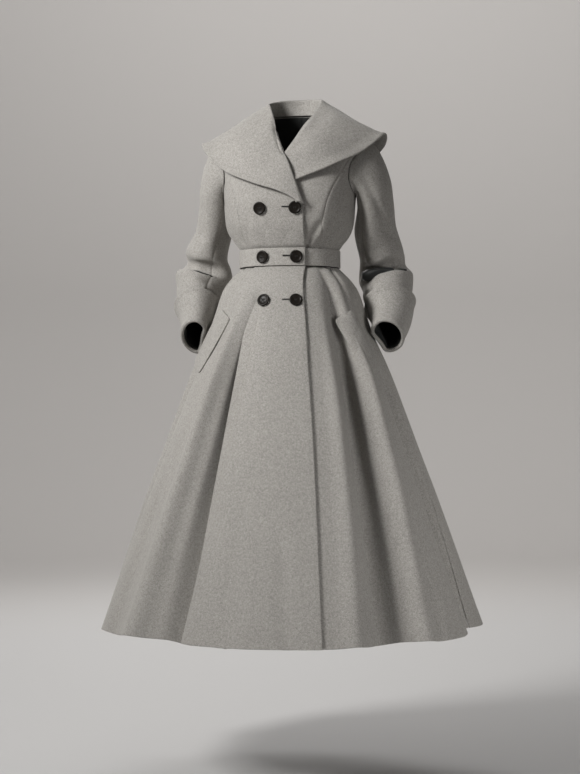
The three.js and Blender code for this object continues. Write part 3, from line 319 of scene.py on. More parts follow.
class CoatBody:
    """The outside of the bodice, the waistband and the skirt, as the solids have it."""

    def __init__(self) -> None:
        """Makes the curves, and tables of the angles that are asked for most."""
        self.part = {
            "bodice": {k: TableCurve(BODICE_SECTIONS["z"], v) for k, v in BODICE_SECTIONS.items()},
            "skirt": {k: TableCurve(SKIRT_SECTIONS["z"], v) for k, v in SKIRT_SECTIONS.items()},
        }
        self.over_edge = TableCurve(FRONT_EDGE["z"], FRONT_EDGE["over"])
        self.neck_edge = {k: TableCurve(NECK_EDGE["z"], NECK_EDGE[k]) for k in ("right", "left")}
        self.princess = TableCurve(PRINCESS_SEAM["z"], PRINCESS_SEAM["angle"])
        self.levels = np.linspace(HEM_Z, 0.0, 1202)
        self.edges = {}
        for name, base in (("bodice", self.bodice), ("skirt", self.skirt)):
            over = self.angle_at_x(base, self.over_edge(self.levels), self.levels)
            under = self.angle_at_x(base, -self.over_edge(self.levels), self.levels)
            self.edges[name] = (over, under)

    def bodice(self, angle: Array, z: Array, lift: Union[Array, float] = 0.0) -> Array:
        """Gives points on the bodice.

        Args:
            angle: Degrees round the body, from the centre front to the wearer's left.
            z: Heights.
            lift: How far outside the surface the points lie.

        Returns:
            The points in millimetres.
        """
        rows = self.part["bodice"]
        s, c = np.sin(np.radians(angle)), np.cos(np.radians(angle))
        fill = 1 + rows["square"](z) * np.sin(np.radians(2 * angle)) ** 2
        depth = np.where(c > 0, rows["front"](z), rows["back"](z))
        x, y = rows["side"](z) * s * fill, -depth * c * fill
        flat = np.hypot(x, y)
        out = (flat + lift - self.drag_depth(angle, z)) / flat
        height = z + rows["rise"](z) * (1 - c) / 2
        return np.stack([x * out + rows["shift"](z), y * out, height + 0 * x], axis=-1)

    def drag_depth(self, angle: Array, z: Array) -> Array:
        """Gives how deep the bodice's drag folds are."""
        total = np.zeros(np.broadcast(angle, z).shape)
        for angle0, z0, angle1, z1, width, depth in BODICE_FOLDS:
            across, up = (angle1 - angle0) * DRAG_FOLD_RUN, z1 - z0
            px, pz = turn_between(angle, angle0) * DRAG_FOLD_RUN, z - z0
            held = np.clip((px * across + pz * up) / (across**2 + up**2), 0, 1)
            away = np.hypot(px - held * across, pz - held * up)
            total = total + depth * np.sin(np.pi * (0.15 + 0.8 * held)) * bell(away / width)
        return total

    def skirt(self, angle: Array, z: Array, lift: Union[Array, float] = 0.0) -> Array:
        """Gives points on the skirt.

        Args:
            angle: Degrees round the body.
            z: Heights.
            lift: How far outside the surface the points lie.

        Returns:
            The points in millimetres.
        """
        rows = self.part["skirt"]
        s, c = np.sin(np.radians(angle)), np.cos(np.radians(angle))
        x = rows["side"](z) * s
        y = -np.where(c > 0, rows["front"](z), rows["back"](z)) * c
        flat = np.hypot(x, y)
        out = (flat + lift - self.fold_depth(angle, z)) / flat
        return np.stack([x * out, y * out, z + 0 * x], axis=-1)

    def fold_depth(self, angle: Array, z: Array) -> Array:
        """Gives how deep the skirt's folds are."""
        fall = np.maximum((WAIST_BOTTOM_Z - z) / (WAIST_BOTTOM_Z - HEM_Z), 0)
        total = np.zeros(np.broadcast(angle, z).shape)
        for fold in SKIRT_FOLDS:
            down = np.maximum((fold.start - z) / (fold.start - HEM_Z), 0)
            middle = fold.waist + (fold.hem - fold.waist) * np.sqrt(fall)
            away = turn_between(angle, middle)
            total = total + fold.depth * down**fold.growth * bell(away / fold.width)
        for at, height, turn, drop, depth in SLEEVE_DENTS:
            total = total + depth * bell(turn_between(angle, at) / turn) * bell((z - height) / drop)
        return total

    def angle_at_x(self, surface: Surface, x: Array, z: Array) -> Array:
        """Finds the angle, on the front half, where a surface has a given x."""
        low, high = np.full(np.shape(z), -90.0), np.full(np.shape(z), 90.0)
        for _ in range(32):
            middle = (low + high) / 2
            less = surface(middle, z)[..., 0] < x
            low, high = np.where(less, middle, low), np.where(less, high, middle)
        return (low + high) / 2

    def overlap_lift(self, name: str, angle: Array, z: Array) -> Array:
        """Gives how far the right front lies outside the plain surface.

        Args:
            name: The part of the body, bodice or skirt.
            angle: Degrees round the body.
            z: Heights.

        Returns:
            The lift in millimetres.
        """
        base = self.bodice if name == "bodice" else self.skirt
        seam = -self.princess(z)
        under = np.interp(z, self.levels, self.edges[name][1])
        rising = smooth((angle - seam) / (under - seam))
        below = LAP_SWELL * bell((z + 125) / 62)
        lean = 1 - np.abs(normal_at(base, angle, z)[..., 2])
        return rising * (LAP_LIFT + below) / np.sqrt(np.maximum(lean * (2 - lean), 0.25))

    def right_bodice(self, angle: Array, z: Array, lift: Union[Array, float] = 0.0) -> Array:
        """Gives points on the right front's bodice, which laps over the left one."""
        return self.bodice(angle, z, self.overlap_lift("bodice", angle, z) + lift)

    def right_skirt(self, angle: Array, z: Array, lift: Union[Array, float] = 0.0) -> Array:
        """Gives points on the right front's skirt."""
        return self.skirt(angle, z, self.overlap_lift("skirt", angle, z) + lift)

    def keep_clear(self, points: Array, clearance: Array, softness: Array, over_right: Array) -> Array:
        """Moves points out until they are clear of the bodice and the skirt, softly.

        Args:
            points: The points.
            clearance: The distance to keep.
            softness: How far from that distance they start to give way.
            over_right: Whether the lap of the right front counts.

        Returns:
            The points, moved.
        """
        probe = points
        for _ in range(4):
            angle, z, on_skirt = self.facing(probe)
            foot, normal = self.foot(angle, z, on_skirt, over_right)
            away = ((points - foot) * normal).sum(-1)
            probe = points - normal * away[..., None]
        short = clearance - away
        push = np.where(short >= softness, short, (short + softness) ** 2 / (4 * softness))
        return points + normal * np.where(short <= -softness, 0.0, push)[..., None]

    def facing(self, points: Array) -> tuple[Array, Array, Array]:
        """Gives the angle and height on the body that points face, and whether on the skirt."""
        x, y, height = points[..., 0], points[..., 1], points[..., 2]
        on_skirt = height < WAIST_BOTTOM_Z
        bodice, skirt = self.part["bodice"], self.part["skirt"]
        z = height
        for _ in range(6):
            depth = np.where(
                y < 0,
                np.where(on_skirt, skirt["front"](z), bodice["front"](z)),
                np.where(on_skirt, skirt["back"](z), bodice["back"](z)),
            )
            side = np.where(on_skirt, skirt["side"](z), bodice["side"](z))
            across = (x - np.where(on_skirt, 0, bodice["shift"](z))) / side
            angle = np.degrees(np.arctan2(across, -y / depth))
            lowered = height - bodice["rise"](z) * (1 - np.cos(np.radians(angle))) / 2
            z = np.where(on_skirt, height, np.minimum(lowered, NECK_Z))
        return angle, z, on_skirt

    def foot(self, angle: Array, z: Array, on_skirt: Array, over_right: Array) -> tuple[Array, Array]:
        """Gives the body's points and outward normals at some angles and heights."""
        held = np.minimum(z, BREAK_Z)
        feet, normals = [], []
        for name, base in (("bodice", self.bodice), ("skirt", self.skirt)):
            lapped = over_right & (angle < np.interp(held, self.levels, self.edges[name][0]))

            def surface(a: Array, h: Array, base=base, name=name, lapped=lapped) -> Array:
                """The body with its lap where that counts."""
                return base(a, h, np.where(lapped, self.overlap_lift(name, a, h), 0.0))

            foot = surface(angle, z)
            normal = normal_at(surface, angle, z)
            inward = (normal[..., :2] * foot[..., :2]).sum(-1) < 0
            feet.append(foot)
            normals.append(np.where(inward[..., None], -normal, normal))
        pick = on_skirt[..., None]
        return np.where(pick, feet[1], feet[0]), np.where(pick, normals[1], normals[0])


BODY = CoatBody()


class Ending(Enum):
    """How a wall of cloth ends: its reach in mm, the thickness kept there, and its dip."""

    ROLLED = (1.6, 0.05, 0.0)
    THICK = (2.4, 0.05, -0.35)
    SEAMED = (1.5, 0.6, 0.9)
    SUNK = (1.6, 0.5, 1.3)
    PLAIN = (0.0, 1.0, 0.0)


@dataclass(frozen=True)
class Endings:
    """The endings of a wall at its first and last column, and its first and last row."""

    first: Ending = Ending.SEAMED
    last: Ending = Ending.SEAMED
    low: Ending = Ending.SEAMED
    high: Ending = Ending.SEAMED


EDGE_STEPS = (0.0, 0.25, 0.7, 1.3, 2.2, 3.6)
STITCH_STEPS = EDGE_STEPS + (6.5, 7.9, 8.6, 9.0, 9.4, 10.1, 11.5)


def spaced(length: float, step: float, first: Sequence[float], last: Sequence[float]) -> Array:
    """Spaces lines over a length, with fixed distances near both ends.

    Args:
        length: The whole length.
        step: The widest space between.
        first: Distances from the start.
        last: Distances from the end.

    Returns:
        The shares of the length, rising from 0 to 1.
    """
    inner = np.linspace(first[-1], length - last[-1], max(int((length - first[-1] - last[-1]) / step), 2) + 1)
    ends = length - np.asarray(last[::-1])
    return np.concatenate([first, inner[1:-1], ends]) / length


@dataclass
class Crease:
    """A soft trough or ridge along a path on a surface.

    Its path is in the surface's own two numbers. A depth below 0 is a ridge. The ends say how
    much of the depth is left at the path's start and end.
    """

    path: Sequence[tuple[float, float]]
    width: tuple[float, float]
    depth: float
    ends: tuple[float, float] = (0.0, 0.0)

    def line(self, surface: Surface) -> Array:
        """Gives the path as points on a surface."""
        pairs = PointCurve(self.path)(np.linspace(0, 1, PATH_POINTS))
        return surface(pairs[:, 0], pairs[:, 1])

    def depth_at(self, points: Array, line: Array) -> Array:
        """Gives the trough's depth at some points.

        Args:
            points: The points of a wall.
            line: The path on the wall.

        Returns:
            The depth in millimetres.
        """
        total = np.zeros(points.shape[:-1])
        reach = 3.0 * max(self.width)
        near = ((points > line.min(0) - reach) & (points < line.max(0) + reach)).all(-1)
        if not near.any():
            return total
        held = points[near]
        nearest = np.linalg.norm(held[:, None, :] - line[None], axis=-1).argmin(1)
        gap, at = np.full(len(held), np.inf), np.zeros(len(held))
        for side in (-1, 0):
            i = np.clip(nearest + side, 0, len(line) - 2)
            run = line[i + 1] - line[i]
            along = np.clip(((held - line[i]) * run).sum(-1) / (run**2).sum(-1), 0, 1)
            away = np.linalg.norm(held - line[i] - run * along[:, None], axis=-1)
            at = np.where(away < gap, i + along, at)
            gap = np.minimum(gap, away)
        share = at / (len(line) - 1)
        wide = self.width[0] + (self.width[1] - self.width[0]) * share
        start = self.ends[0] + (1 - self.ends[0]) * smooth(share / 0.35)
        end = self.ends[1] + (1 - self.ends[1]) * smooth((1 - share) / 0.35)
        total[near] = self.depth * start * end * bell(gap / wide)
        return total


def on_side(sign: int, *creases: Crease) -> list[Crease]:
    """Gives creases that are stated for the left side as they lie on a side."""
    return [replace(each, path=[(sign * angle, z) for angle, z in each.path]) for each in creases]


def crease_depth(creases: Sequence[Crease], surface: Surface, points: Array) -> Array:
    """Sums the depth of some creases of a surface at the points of a wall."""
    total = np.zeros(points.shape[:-1])
    for crease in creases:
        total = total + crease.depth_at(points, crease.line(surface))
    return total


def grid_normals(points: Array, outward: Array, closed: bool) -> Array:
    """Gives the normals of a grid of points.

    Args:
        points: Rows and columns of points.
        outward: A rough outward direction, one for each point or one for all.
        closed: Whether the columns run round.

    Returns:
        One unit vector for each point.
    """
    if closed:
        across = np.roll(points, -1, axis=1) - np.roll(points, 1, axis=1)
    else:
        across = np.gradient(points, axis=1)
    normals = unit(np.cross(unit(across), unit(np.gradient(points, axis=0))))
    if (normals * outward).sum(-1).mean() < 0:
        normals = -normals
    return normals


def edge_distances(points: Array, axis: int) -> tuple[Array, Array]:
    """Gives each point's distance from the start and the end of its row or column."""
    steps = np.linalg.norm(np.diff(points, axis=axis), axis=-1)
    pad = np.zeros_like(np.take(steps, [0], axis=axis))
    start = np.concatenate([pad, np.cumsum(steps, axis=axis)], axis=axis)
    return start, np.take(start, [-1], axis=axis) - start


def tube_faces(rings: int, sides: int, first: int = 0) -> list[tuple[int, ...]]:
    """Lists the faces of a tube of rings of points, numbered from first on."""
    return [
        (a + j, a + (j + 1) % sides, a + sides + (j + 1) % sides, a + sides + j)
        for a in range(first, first + (rings - 1) * sides, sides)
        for j in range(sides)
    ]


def new_object(
    name: str, points: Array, faces: Sequence, materials: Sequence[bpy.types.Material]
) -> bpy.types.Object:
    """Makes a smooth mesh object.

    Args:
        name: Its name.
        points: Its points in millimetres.
        faces: Its faces, as numbers of points.
        materials: Its finishes, in order.

    Returns:
        The object, linked and riding on the coat.
    """
    mesh = bpy.data.meshes.new(name)
    mesh.from_pydata((np.asarray(points).reshape(-1, 3) * MM).tolist(), [], faces)
    mesh.update()
    mesh.polygons.foreach_set("use_smooth", [True] * len(mesh.polygons))
    made = bpy.data.objects.new(name, mesh)
    for material in materials:
        mesh.materials.append(material)
    bpy.context.scene.collection.objects.link(made)
    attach(made, "root")
    return made


@dataclass
class Wall:
    """A wall of cloth under a grid of points on its outside."""

    name: str
    outer: Array
    outward: Array
    endings: Endings = Endings()
    thickness: float = CLOTH
    closed: bool = False
    lined: Optional[Array] = None
    creases: Optional[Array] = None
    face: Array = field(init=False)
    normals: Array = field(init=False)
    flat: tuple[float, float] = field(init=False)
    area: float = field(init=False)

    def thinning(self, points: Array) -> tuple[Array, Array]:
        """Gives the share of the thickness that is kept near the edges, and how deep they dip."""
        share, dip = np.ones(points.shape[:2]), np.zeros(points.shape[:2])
        sides = [(0, self.endings.low, self.endings.high)]
        if not self.closed:
            sides.append((1, self.endings.first, self.endings.last))
        for axis, start, end in sides:
            for away, ending in zip(edge_distances(points, axis), (start, end)):
                reach, keep, sink = ending.value
                if reach > 0:
                    part = np.clip(away / reach, 0, 1)
                    share = np.minimum(share, keep + (1 - keep) * np.sqrt(1 - (1 - part) ** 2))
                    dip = dip + sink * bell(away / SEAM_DIP_REACH)
        return share, dip

    def build(self, finish: "Finishes", slot: str = "wool") -> bpy.types.Object:
        """Makes the wall's object.

        Args:
            finish: The coat's materials.
            slot: The record's material slot of its outside.
        """
        points = self.outer
        if self.creases is not None:
            points = points - grid_normals(points, self.outward, self.closed) * self.creases[..., None]
        self.normals = grid_normals(points, self.outward, self.closed)
        share, dip = self.thinning(points)
        half = self.thickness / 2
        middle = points - self.normals * (half + dip)[..., None]
        self.face = middle + self.normals * (half * share)[..., None]
        back = middle - self.normals * (half * share)[..., None]
        rows, columns = points.shape[:2]
        order = np.cross(np.gradient(points, axis=1), np.gradient(points, axis=0))
        faces, inside = self.faces(rows, columns, (self.normals * order).sum(-1).mean() > 0)
        both = np.concatenate([self.face.reshape(-1, 3), back.reshape(-1, 3)])
        made = new_object(self.name, both, faces, [finish.pick(slot), finish.lining.material])
        if self.lined is not None:
            index = np.zeros(len(faces), int)
            mask = self.lined if self.closed else self.lined[:-1, :-1]
            index[inside] = mask[: rows - 1].reshape(-1).astype(int)
            made.data.polygons.foreach_set("material_index", index.tolist())
        self.measure(middle)
        log.info("%s: %d triangles", self.name, 2 * len(faces))
        return made

    def faces(self, rows: int, columns: int, keep: bool) -> tuple[list, slice]:
        """Lists the faces of both sides and the rims.

        Args:
            rows: Rows of the grid.
            columns: Columns of the grid.
            keep: Whether the grid's own order already faces out.

        Returns:
            The faces, and where those of the inside stand among them.
        """
        wraps = columns if self.closed else columns - 1
        i, j = np.meshgrid(np.arange(rows - 1), np.arange(wraps), indexing="ij")
        k = (j + 1) % columns
        out = np.stack([i * columns + j, i * columns + k, (i + 1) * columns + k, (i + 1) * columns + j], -1)
        out = out.reshape(-1, 4)
        total = rows * columns
        back = out[:, ::-1] + total
        j = np.arange(wraps)
        k = (j + 1) % columns
        top = (rows - 1) * columns
        rims = [
            np.stack([j, j + total, k + total, k], -1),
            np.stack([top + k, top + k + total, top + j + total, top + j], -1),
        ]
        if not self.closed:
            i = np.arange(rows - 1) * columns
            rims.append(np.stack([i + columns, i + columns + total, i + total, i], -1))
            i = i + columns - 1
            rims.append(np.stack([i, i + total, i + columns + total, i + columns], -1))
        every = np.concatenate([out, back, *rims])
        if not keep:
            every = every[:, ::-1]
        return every.tolist(), slice(len(out), 2 * len(out))

    def measure(self, middle: Array) -> None:
        """Keeps the flat size and the area of the wall's own surface, in metres."""
        grid = np.concatenate([middle, middle[:, :1]], axis=1) if self.closed else middle
        a, b = grid[1:, 1:] - grid[:-1, :-1], grid[1:, :-1] - grid[:-1, 1:]
        area = float(np.linalg.norm(np.cross(a, b), axis=-1).sum() / 2) * MM**2
        wide = float(np.linalg.norm(np.diff(grid, axis=1), axis=-1).sum(1).max()) * MM
        tall = max(area / wide, float(np.linalg.norm(np.diff(grid, axis=0), axis=-1).sum(0).max()) * MM)
        self.flat, self.area = (wide, tall), area
        log.info("%s: flat %.3f x %.3f m, area %.3f m2", self.name, wide, tall, area)

    def dress(
        self,
        finish: "Finishes",
        rests_on: Sequence[str],
        held: str = "draped",
        sew: Optional[Callable[[], bpy.types.Object]] = None,
        slot: str = "wool",
    ) -> None:
        """Args:
            finish: The coat's materials.
            rests_on: The names of what carries it; not used.
            held: How it is held; not used.
            sew: Makes the row of stitches on it, once the wall is built.
            slot: The record's material slot of its outside.
        """
        made = self.build(finish, slot)
        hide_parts(self.name)
        parts = [sew()] if sew else []
        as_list(rests_on)


class Node:
    """A value on its way through a material, with Python's own operators."""

    def __init__(self, tree: bpy.types.NodeTree, socket: bpy.types.NodeSocket) -> None:
        """Wraps an output socket of a tree."""
        self.tree = tree
        self.socket = socket

    def _math(self, operation: str, first: "Value", second: "Value") -> "Node":
        """Adds a Math node on two values."""
        return add_node(self.tree, "ShaderNodeMath", {"operation": operation}, {0: first, 1: second})

    def __add__(self, other: "Value") -> "Node":
        """Adds."""
        return self._math("ADD", self, other)

    __radd__ = __add__

    def __sub__(self, other: "Value") -> "Node":
        """Subtracts."""
        return self._math("SUBTRACT", self, other)

    def __rsub__(self, other: "Value") -> "Node":
        """Subtracts from a number."""
        return self._math("SUBTRACT", other, self)

    def __mul__(self, other: "Value") -> "Node":
        """Multiplies."""
        return self._math("MULTIPLY", self, other)

    __rmul__ = __mul__


Value = Union[Node, float, tuple]


def add_node(
    tree: bpy.types.NodeTree, kind: str, settings: dict, values: dict, out: Union[int, str] = 0
) -> Node:
    """Adds one node.

    Args:
        tree: The material's tree.
        kind: The node's type.
        settings: What is set on the node before its sockets.
        values: Numbers or links for its sockets, by name or place.
        out: The output that is wanted.

    Returns:
        That output.
    """
    node = tree.nodes.new(kind)
    for name, value in settings.items():
        setattr(node, name, value)
    for name, value in values.items():
        if isinstance(value, Node):
            tree.links.new(value.socket, node.inputs[name])
        else:
            node.inputs[name].default_value = value
    return Node(tree, node.outputs[out])


def principled(name: str, fixed: dict, varying: Callable[[bpy.types.NodeTree], dict]) -> bpy.types.Material:
    """Makes a material with one Principled shader.

    Args:
        name: Its name.
        fixed: Values that are the same all over.
        varying: Gives the sockets that change over the surface.

    Returns:
        The material.
    """
    material = bpy.data.materials.new(name)
    material.use_nodes = True
    tree = material.node_tree
    shader = next(n for n in tree.nodes if n.type == "BSDF_PRINCIPLED")
    for socket, value in fixed.items():
        shader.inputs[socket].default_value = value
    for socket, value in varying(tree).items():
        tree.links.new(value.socket, shader.inputs[socket])
    return material


def noise(
    tree: bpy.types.NodeTree, scale: float, detail: float, roughness: float = 0.5, stretch: tuple = (1, 1, 1)
) -> Node:
    """Adds a noise in the object's own metres.

    Args:
        tree: The material's tree.
        scale: Its scale.
        detail: Its octaves.
        roughness: How strong the finer ones are.
        stretch: How much each axis is scaled first.

    Returns:
        The noise, from 0 to 1.
    """
    place = add_node(tree, "ShaderNodeTexCoord", {}, {}, "Object")
    if stretch != (1, 1, 1):
        place = add_node(tree, "ShaderNodeMapping", {}, {"Vector": place, "Scale": stretch})
    return add_node(
        tree,
        "ShaderNodeTexNoise",
        {"noise_dimensions": "3D"},
        {"Vector": place, "Scale": scale, "Detail": detail, "Roughness": roughness},
    )


def ramp(
    tree: bpy.types.NodeTree, value: Node, low: float, high: float, to: tuple[float, float] = (0.0, 1.0)
) -> Node:
    """Maps a value from one range to another, softly and held at both ends."""
    return add_node(
        tree,
        "ShaderNodeMapRange",
        {"interpolation_type": "SMOOTHSTEP"},
        {"Value": value, "From Min": low, "From Max": high, "To Min": to[0], "To Max": to[1]},
    )


def mix(tree: bpy.types.NodeTree, share: Node, first: Value, second: Value) -> Node:
    """Mixes two colours."""
    return add_node(tree, "ShaderNodeMix", {"data_type": "RGBA"}, {0: share, 6: first, 7: second}, 2)


def bump(tree: bpy.types.NodeTree, height: Node, strength: float, distance: float) -> Node:
    """Turns a height into a normal, with its distance in metres."""
    values = {"Height": height, "Strength": strength, "Distance": distance}
    return add_node(tree, "ShaderNodeBump", {}, values, "Normal")


@dataclass(frozen=True)
class Wool:
    """Felted grey melange coating: light and dark fibres mixed, with a short soft nap."""

    light: Colour = (0.445, 0.428, 0.402, 1)
    dark: Colour = (0.205, 0.196, 0.182, 1)
    pale_fibre: Colour = (0.62, 0.6, 0.57, 1)
    dark_fibre: Colour = (0.1, 0.096, 0.09, 1)
    sheen: Colour = (0.9, 0.88, 0.85, 1)

    def varying(self, tree: bpy.types.NodeTree) -> dict:
        """Gives the melange's colour and its felted surface."""
        clump = noise(tree, 190, 3, 0.6)
        fleck = noise(tree, 520, 2, 0.6)
        fibre = noise(tree, 1500, 2, 0.6, (1.0, 1.0, 0.45))
        cloud = noise(tree, 9, 2)
        tone = (clump - 0.5) * 0.95 + (fleck - 0.5) * 1.6 + (cloud - 0.5) * 0.16 + 0.5
        pale = ramp(tree, noise(tree, 620, 2, 0.6), 0.6, 0.7, (0.0, 0.55))
        deep = ramp(tree, noise(tree, 560, 2, 0.6, (1, 1, 0.8)), 0.41, 0.31, (0.0, 0.6))
        base = mix(tree, tone, self.dark, self.light)
        base = mix(tree, deep, mix(tree, pale, base, self.pale_fibre), self.dark_fibre)
        height = fibre * 0.6 + fleck * 0.9 + clump * 0.5
        return {"Base Color": base, "Normal": bump(tree, height, 0.5, 0.0009)}

    def make(self) -> bpy.types.Material:
        """Makes the material."""
        fixed = {
            "Roughness": 0.92,
            "Specular IOR Level": 0.22,
            "Sheen Weight": 0.22,
            "Sheen Roughness": 0.45,
            "Sheen Tint": self.sheen,
        }
        return principled("wool_melange", fixed, self.varying)


@dataclass(frozen=True)
class Lining:
    """Black twill lining, smooth and slightly shiny."""

    deep: Colour = (0.006, 0.007, 0.0065, 1)
    worn: Colour = (0.014, 0.015, 0.014, 1)

    def varying(self, tree: bpy.types.NodeTree) -> dict:
        """Gives a soft change of tone and a fine twill."""
        place = add_node(tree, "ShaderNodeTexCoord", {}, {}, "Object")
        twill = add_node(
            tree, "ShaderNodeTexWave", {"bands_direction": "DIAGONAL"},
            {"Vector": place, "Scale": 700.0, "Distortion": 0.6},
        )
        return {
            "Base Color": mix(tree, noise(tree, 60, 3), self.deep, self.worn),
            "Roughness": ramp(tree, noise(tree, 90, 2), 0.3, 0.7, (0.42, 0.58)),
            "Normal": bump(tree, twill, 0.12, 0.0003),
        }

    def make(self) -> bpy.types.Material:
        """Makes the material."""
        return principled("lining_twill", {"Specular IOR Level": 0.4, "Sheen Weight": 0.1}, self.varying)


@dataclass(frozen=True)
class Polish:
    """Polished black button."""

    black: Colour = (0.007, 0.0065, 0.006, 1)
    brown: Colour = (0.02, 0.016, 0.013, 1)

    def varying(self, tree: bpy.types.NodeTree) -> dict:
        """Gives faint clouds in the colour and the gloss, and fine wear."""
        return {
            "Base Color": mix(tree, noise(tree, 160, 4, 0.6), self.black, self.brown),
            "Roughness": ramp(tree, noise(tree, 700, 3), 0.3, 0.75, (0.27, 0.4)),
            "Normal": bump(tree, noise(tree, 1500, 2), 0.06, 0.0002),
        }

    def make(self) -> bpy.types.Material:
        """Makes the material."""
        return principled("button_black", {"Specular IOR Level": 0.1}, self.varying)


@dataclass(frozen=True)
class Thread:
    """Twisted sewing thread."""

    name: str
    colour: Colour
    shade: Colour

    def varying(self, tree: bpy.types.NodeTree) -> dict:
        """Gives the thread's change of tone and its twist."""
        return {
            "Base Color": mix(tree, noise(tree, 900, 2), self.shade, self.colour),
            "Normal": bump(tree, noise(tree, 2600, 1), 0.3, 0.0002),
        }

    def make(self) -> bpy.types.Material:
        """Makes the material."""
        return principled(self.name, {"Roughness": 0.7}, self.varying)


@dataclass
class Finish:
    """A recipe with the material that was made from it."""

    recipe: Union[Wool, Lining, Polish, Thread]
    material: bpy.types.Material = field(init=False)

    def __post_init__(self) -> None:
        """Makes the material once."""
        self.material = self.recipe.make()


@dataclass
class Finishes:
    """Every finish of the coat."""

    wool: Finish = field(default_factory=lambda: Finish(Wool()))
    lining: Finish = field(default_factory=lambda: Finish(Lining()))
    button: Finish = field(default_factory=lambda: Finish(Polish()))
    grey_thread: Finish = field(
        default_factory=lambda: Finish(
            Thread("thread_grey", (0.3, 0.288, 0.27, 1), (0.2, 0.19, 0.178, 1))
        )
    )
    black_thread: Finish = field(
        default_factory=lambda: Finish(
            Thread("thread_black", (0.02, 0.019, 0.018, 1), (0.008, 0.008, 0.008, 1))
        )
    )

    def pick(self, slot: str) -> bpy.types.Material:
        """Gives the material of a slot of the record."""
        return {"wool": self.wool, "lining": self.lining, "button": self.button}[slot].material


def body_outward(points: Array) -> Array:
    """Gives the level direction away from the body's middle."""
    flat = points - np.array([5.0, 0.0, 0.0])
    flat[..., 2] = 0.0
    return unit(flat)


@dataclass
class PanelPlan:
    """A panel of the body: its surface, its rows, and its limits across at each row."""

    name: str
    surface: Surface
    heights: Array
    start: Callable[[Array], Array]
    end: Callable[[Array], Array]
    endings: Endings
    step: float = 6.0
    first_steps: Sequence[float] = EDGE_STEPS
    last_steps: Sequence[float] = EDGE_STEPS
    creases: Sequence[Crease] = ()
    facing_low: float = 0.0
    facing_first: float = 0.0
    facing_last: float = 0.0
    edge_lift: float = 0.0
    stitching: str = ""

    def angles(self) -> tuple[Array, Array]:
        """Gives the grid's angles and heights."""
        z = self.heights
        low, high = self.start(z), self.end(z)
        rough = low[:, None] + (high - low)[:, None] * np.linspace(0, 1, 17)
        points = self.surface(rough, np.repeat(z[:, None], rough.shape[1], axis=1))
        widths = np.linalg.norm(np.diff(points, axis=1), axis=-1).sum(1)
        count = len(spaced(float(widths.max()), self.step, self.first_steps, self.last_steps))
        inner = count - len(self.first_steps) - len(self.last_steps)
        rows = []
        for width in widths:
            squeeze = min(1.0, 0.35 * width / max(self.first_steps[-1], self.last_steps[-1]))
            first = np.asarray(self.first_steps) * squeeze / width
            last = 1 - np.asarray(self.last_steps)[::-1] * squeeze / width
            middle = np.linspace(first[-1], last[0], inner + 2)[1:-1]
            rows.append(np.concatenate([first, middle, last]))
        shares = np.array(rows)
        angle = low[:, None] + (high - low)[:, None] * shares
        return angle, np.repeat(z[:, None], angle.shape[1], axis=1)

    def wall(self) -> Wall:
        """Makes the panel's wall."""
        angle, z = self.angles()
        outer = self.surface(angle, z)
        start, end = edge_distances(outer, 1)
        lined = (start > self.facing_first) & (end > self.facing_last) & (z > HEM_Z + self.facing_low)
        lift = self.edge_lift * smooth((BREAK_Z - z) / 45.0) * smooth(1 - end / 34.0)
        depth = crease_depth(self.creases, self.surface, outer) - lift
        return Wall(self.name, outer, body_outward(outer), self.endings, lined=lined, creases=depth)

    def build(self, finish: Finishes, rests_on: Sequence[str], held: str = "draped") -> None:
        """Makes the panel.

        Args:
            finish: The coat's materials.
            rests_on: The names of what carries it.
            held: How it is held.
        """
        wall = self.wall()
        sew = (lambda: Stitching.along_edge(self.stitching, wall, finish)) if self.stitching else None
        wall.dress(finish, rests_on, held, sew)


def level_rows(low: float, high: float, step: float) -> Array:
    """Spaces heights from low to high, finer at both ends."""
    return low + (high - low) * spaced(high - low, step, EDGE_STEPS, EDGE_STEPS)


def seam_angle(surface: Surface, angle: Union[float, Array], z: Array, side: float) -> Array:
    """Draws an angle in by half a seam's gap on one side."""
    whole = angle + 0 * z
    reach = np.linalg.norm(surface(whole + 1, z) - surface(whole, z), axis=-1)
    return whole + side * SEAM_GAP / 2 / reach


def armhole_angle(z: Array) -> Array:
    """Gives half the armhole's width as an angle."""
    middle, reach = (SHOULDER_TIP_Z + ARMPIT_Z) / 2, (SHOULDER_TIP_Z - ARMPIT_Z) / 2
    return ARMHOLE_HALF_TURN * np.sqrt(np.maximum(1 - ((z - middle) / reach) ** 2, 0))


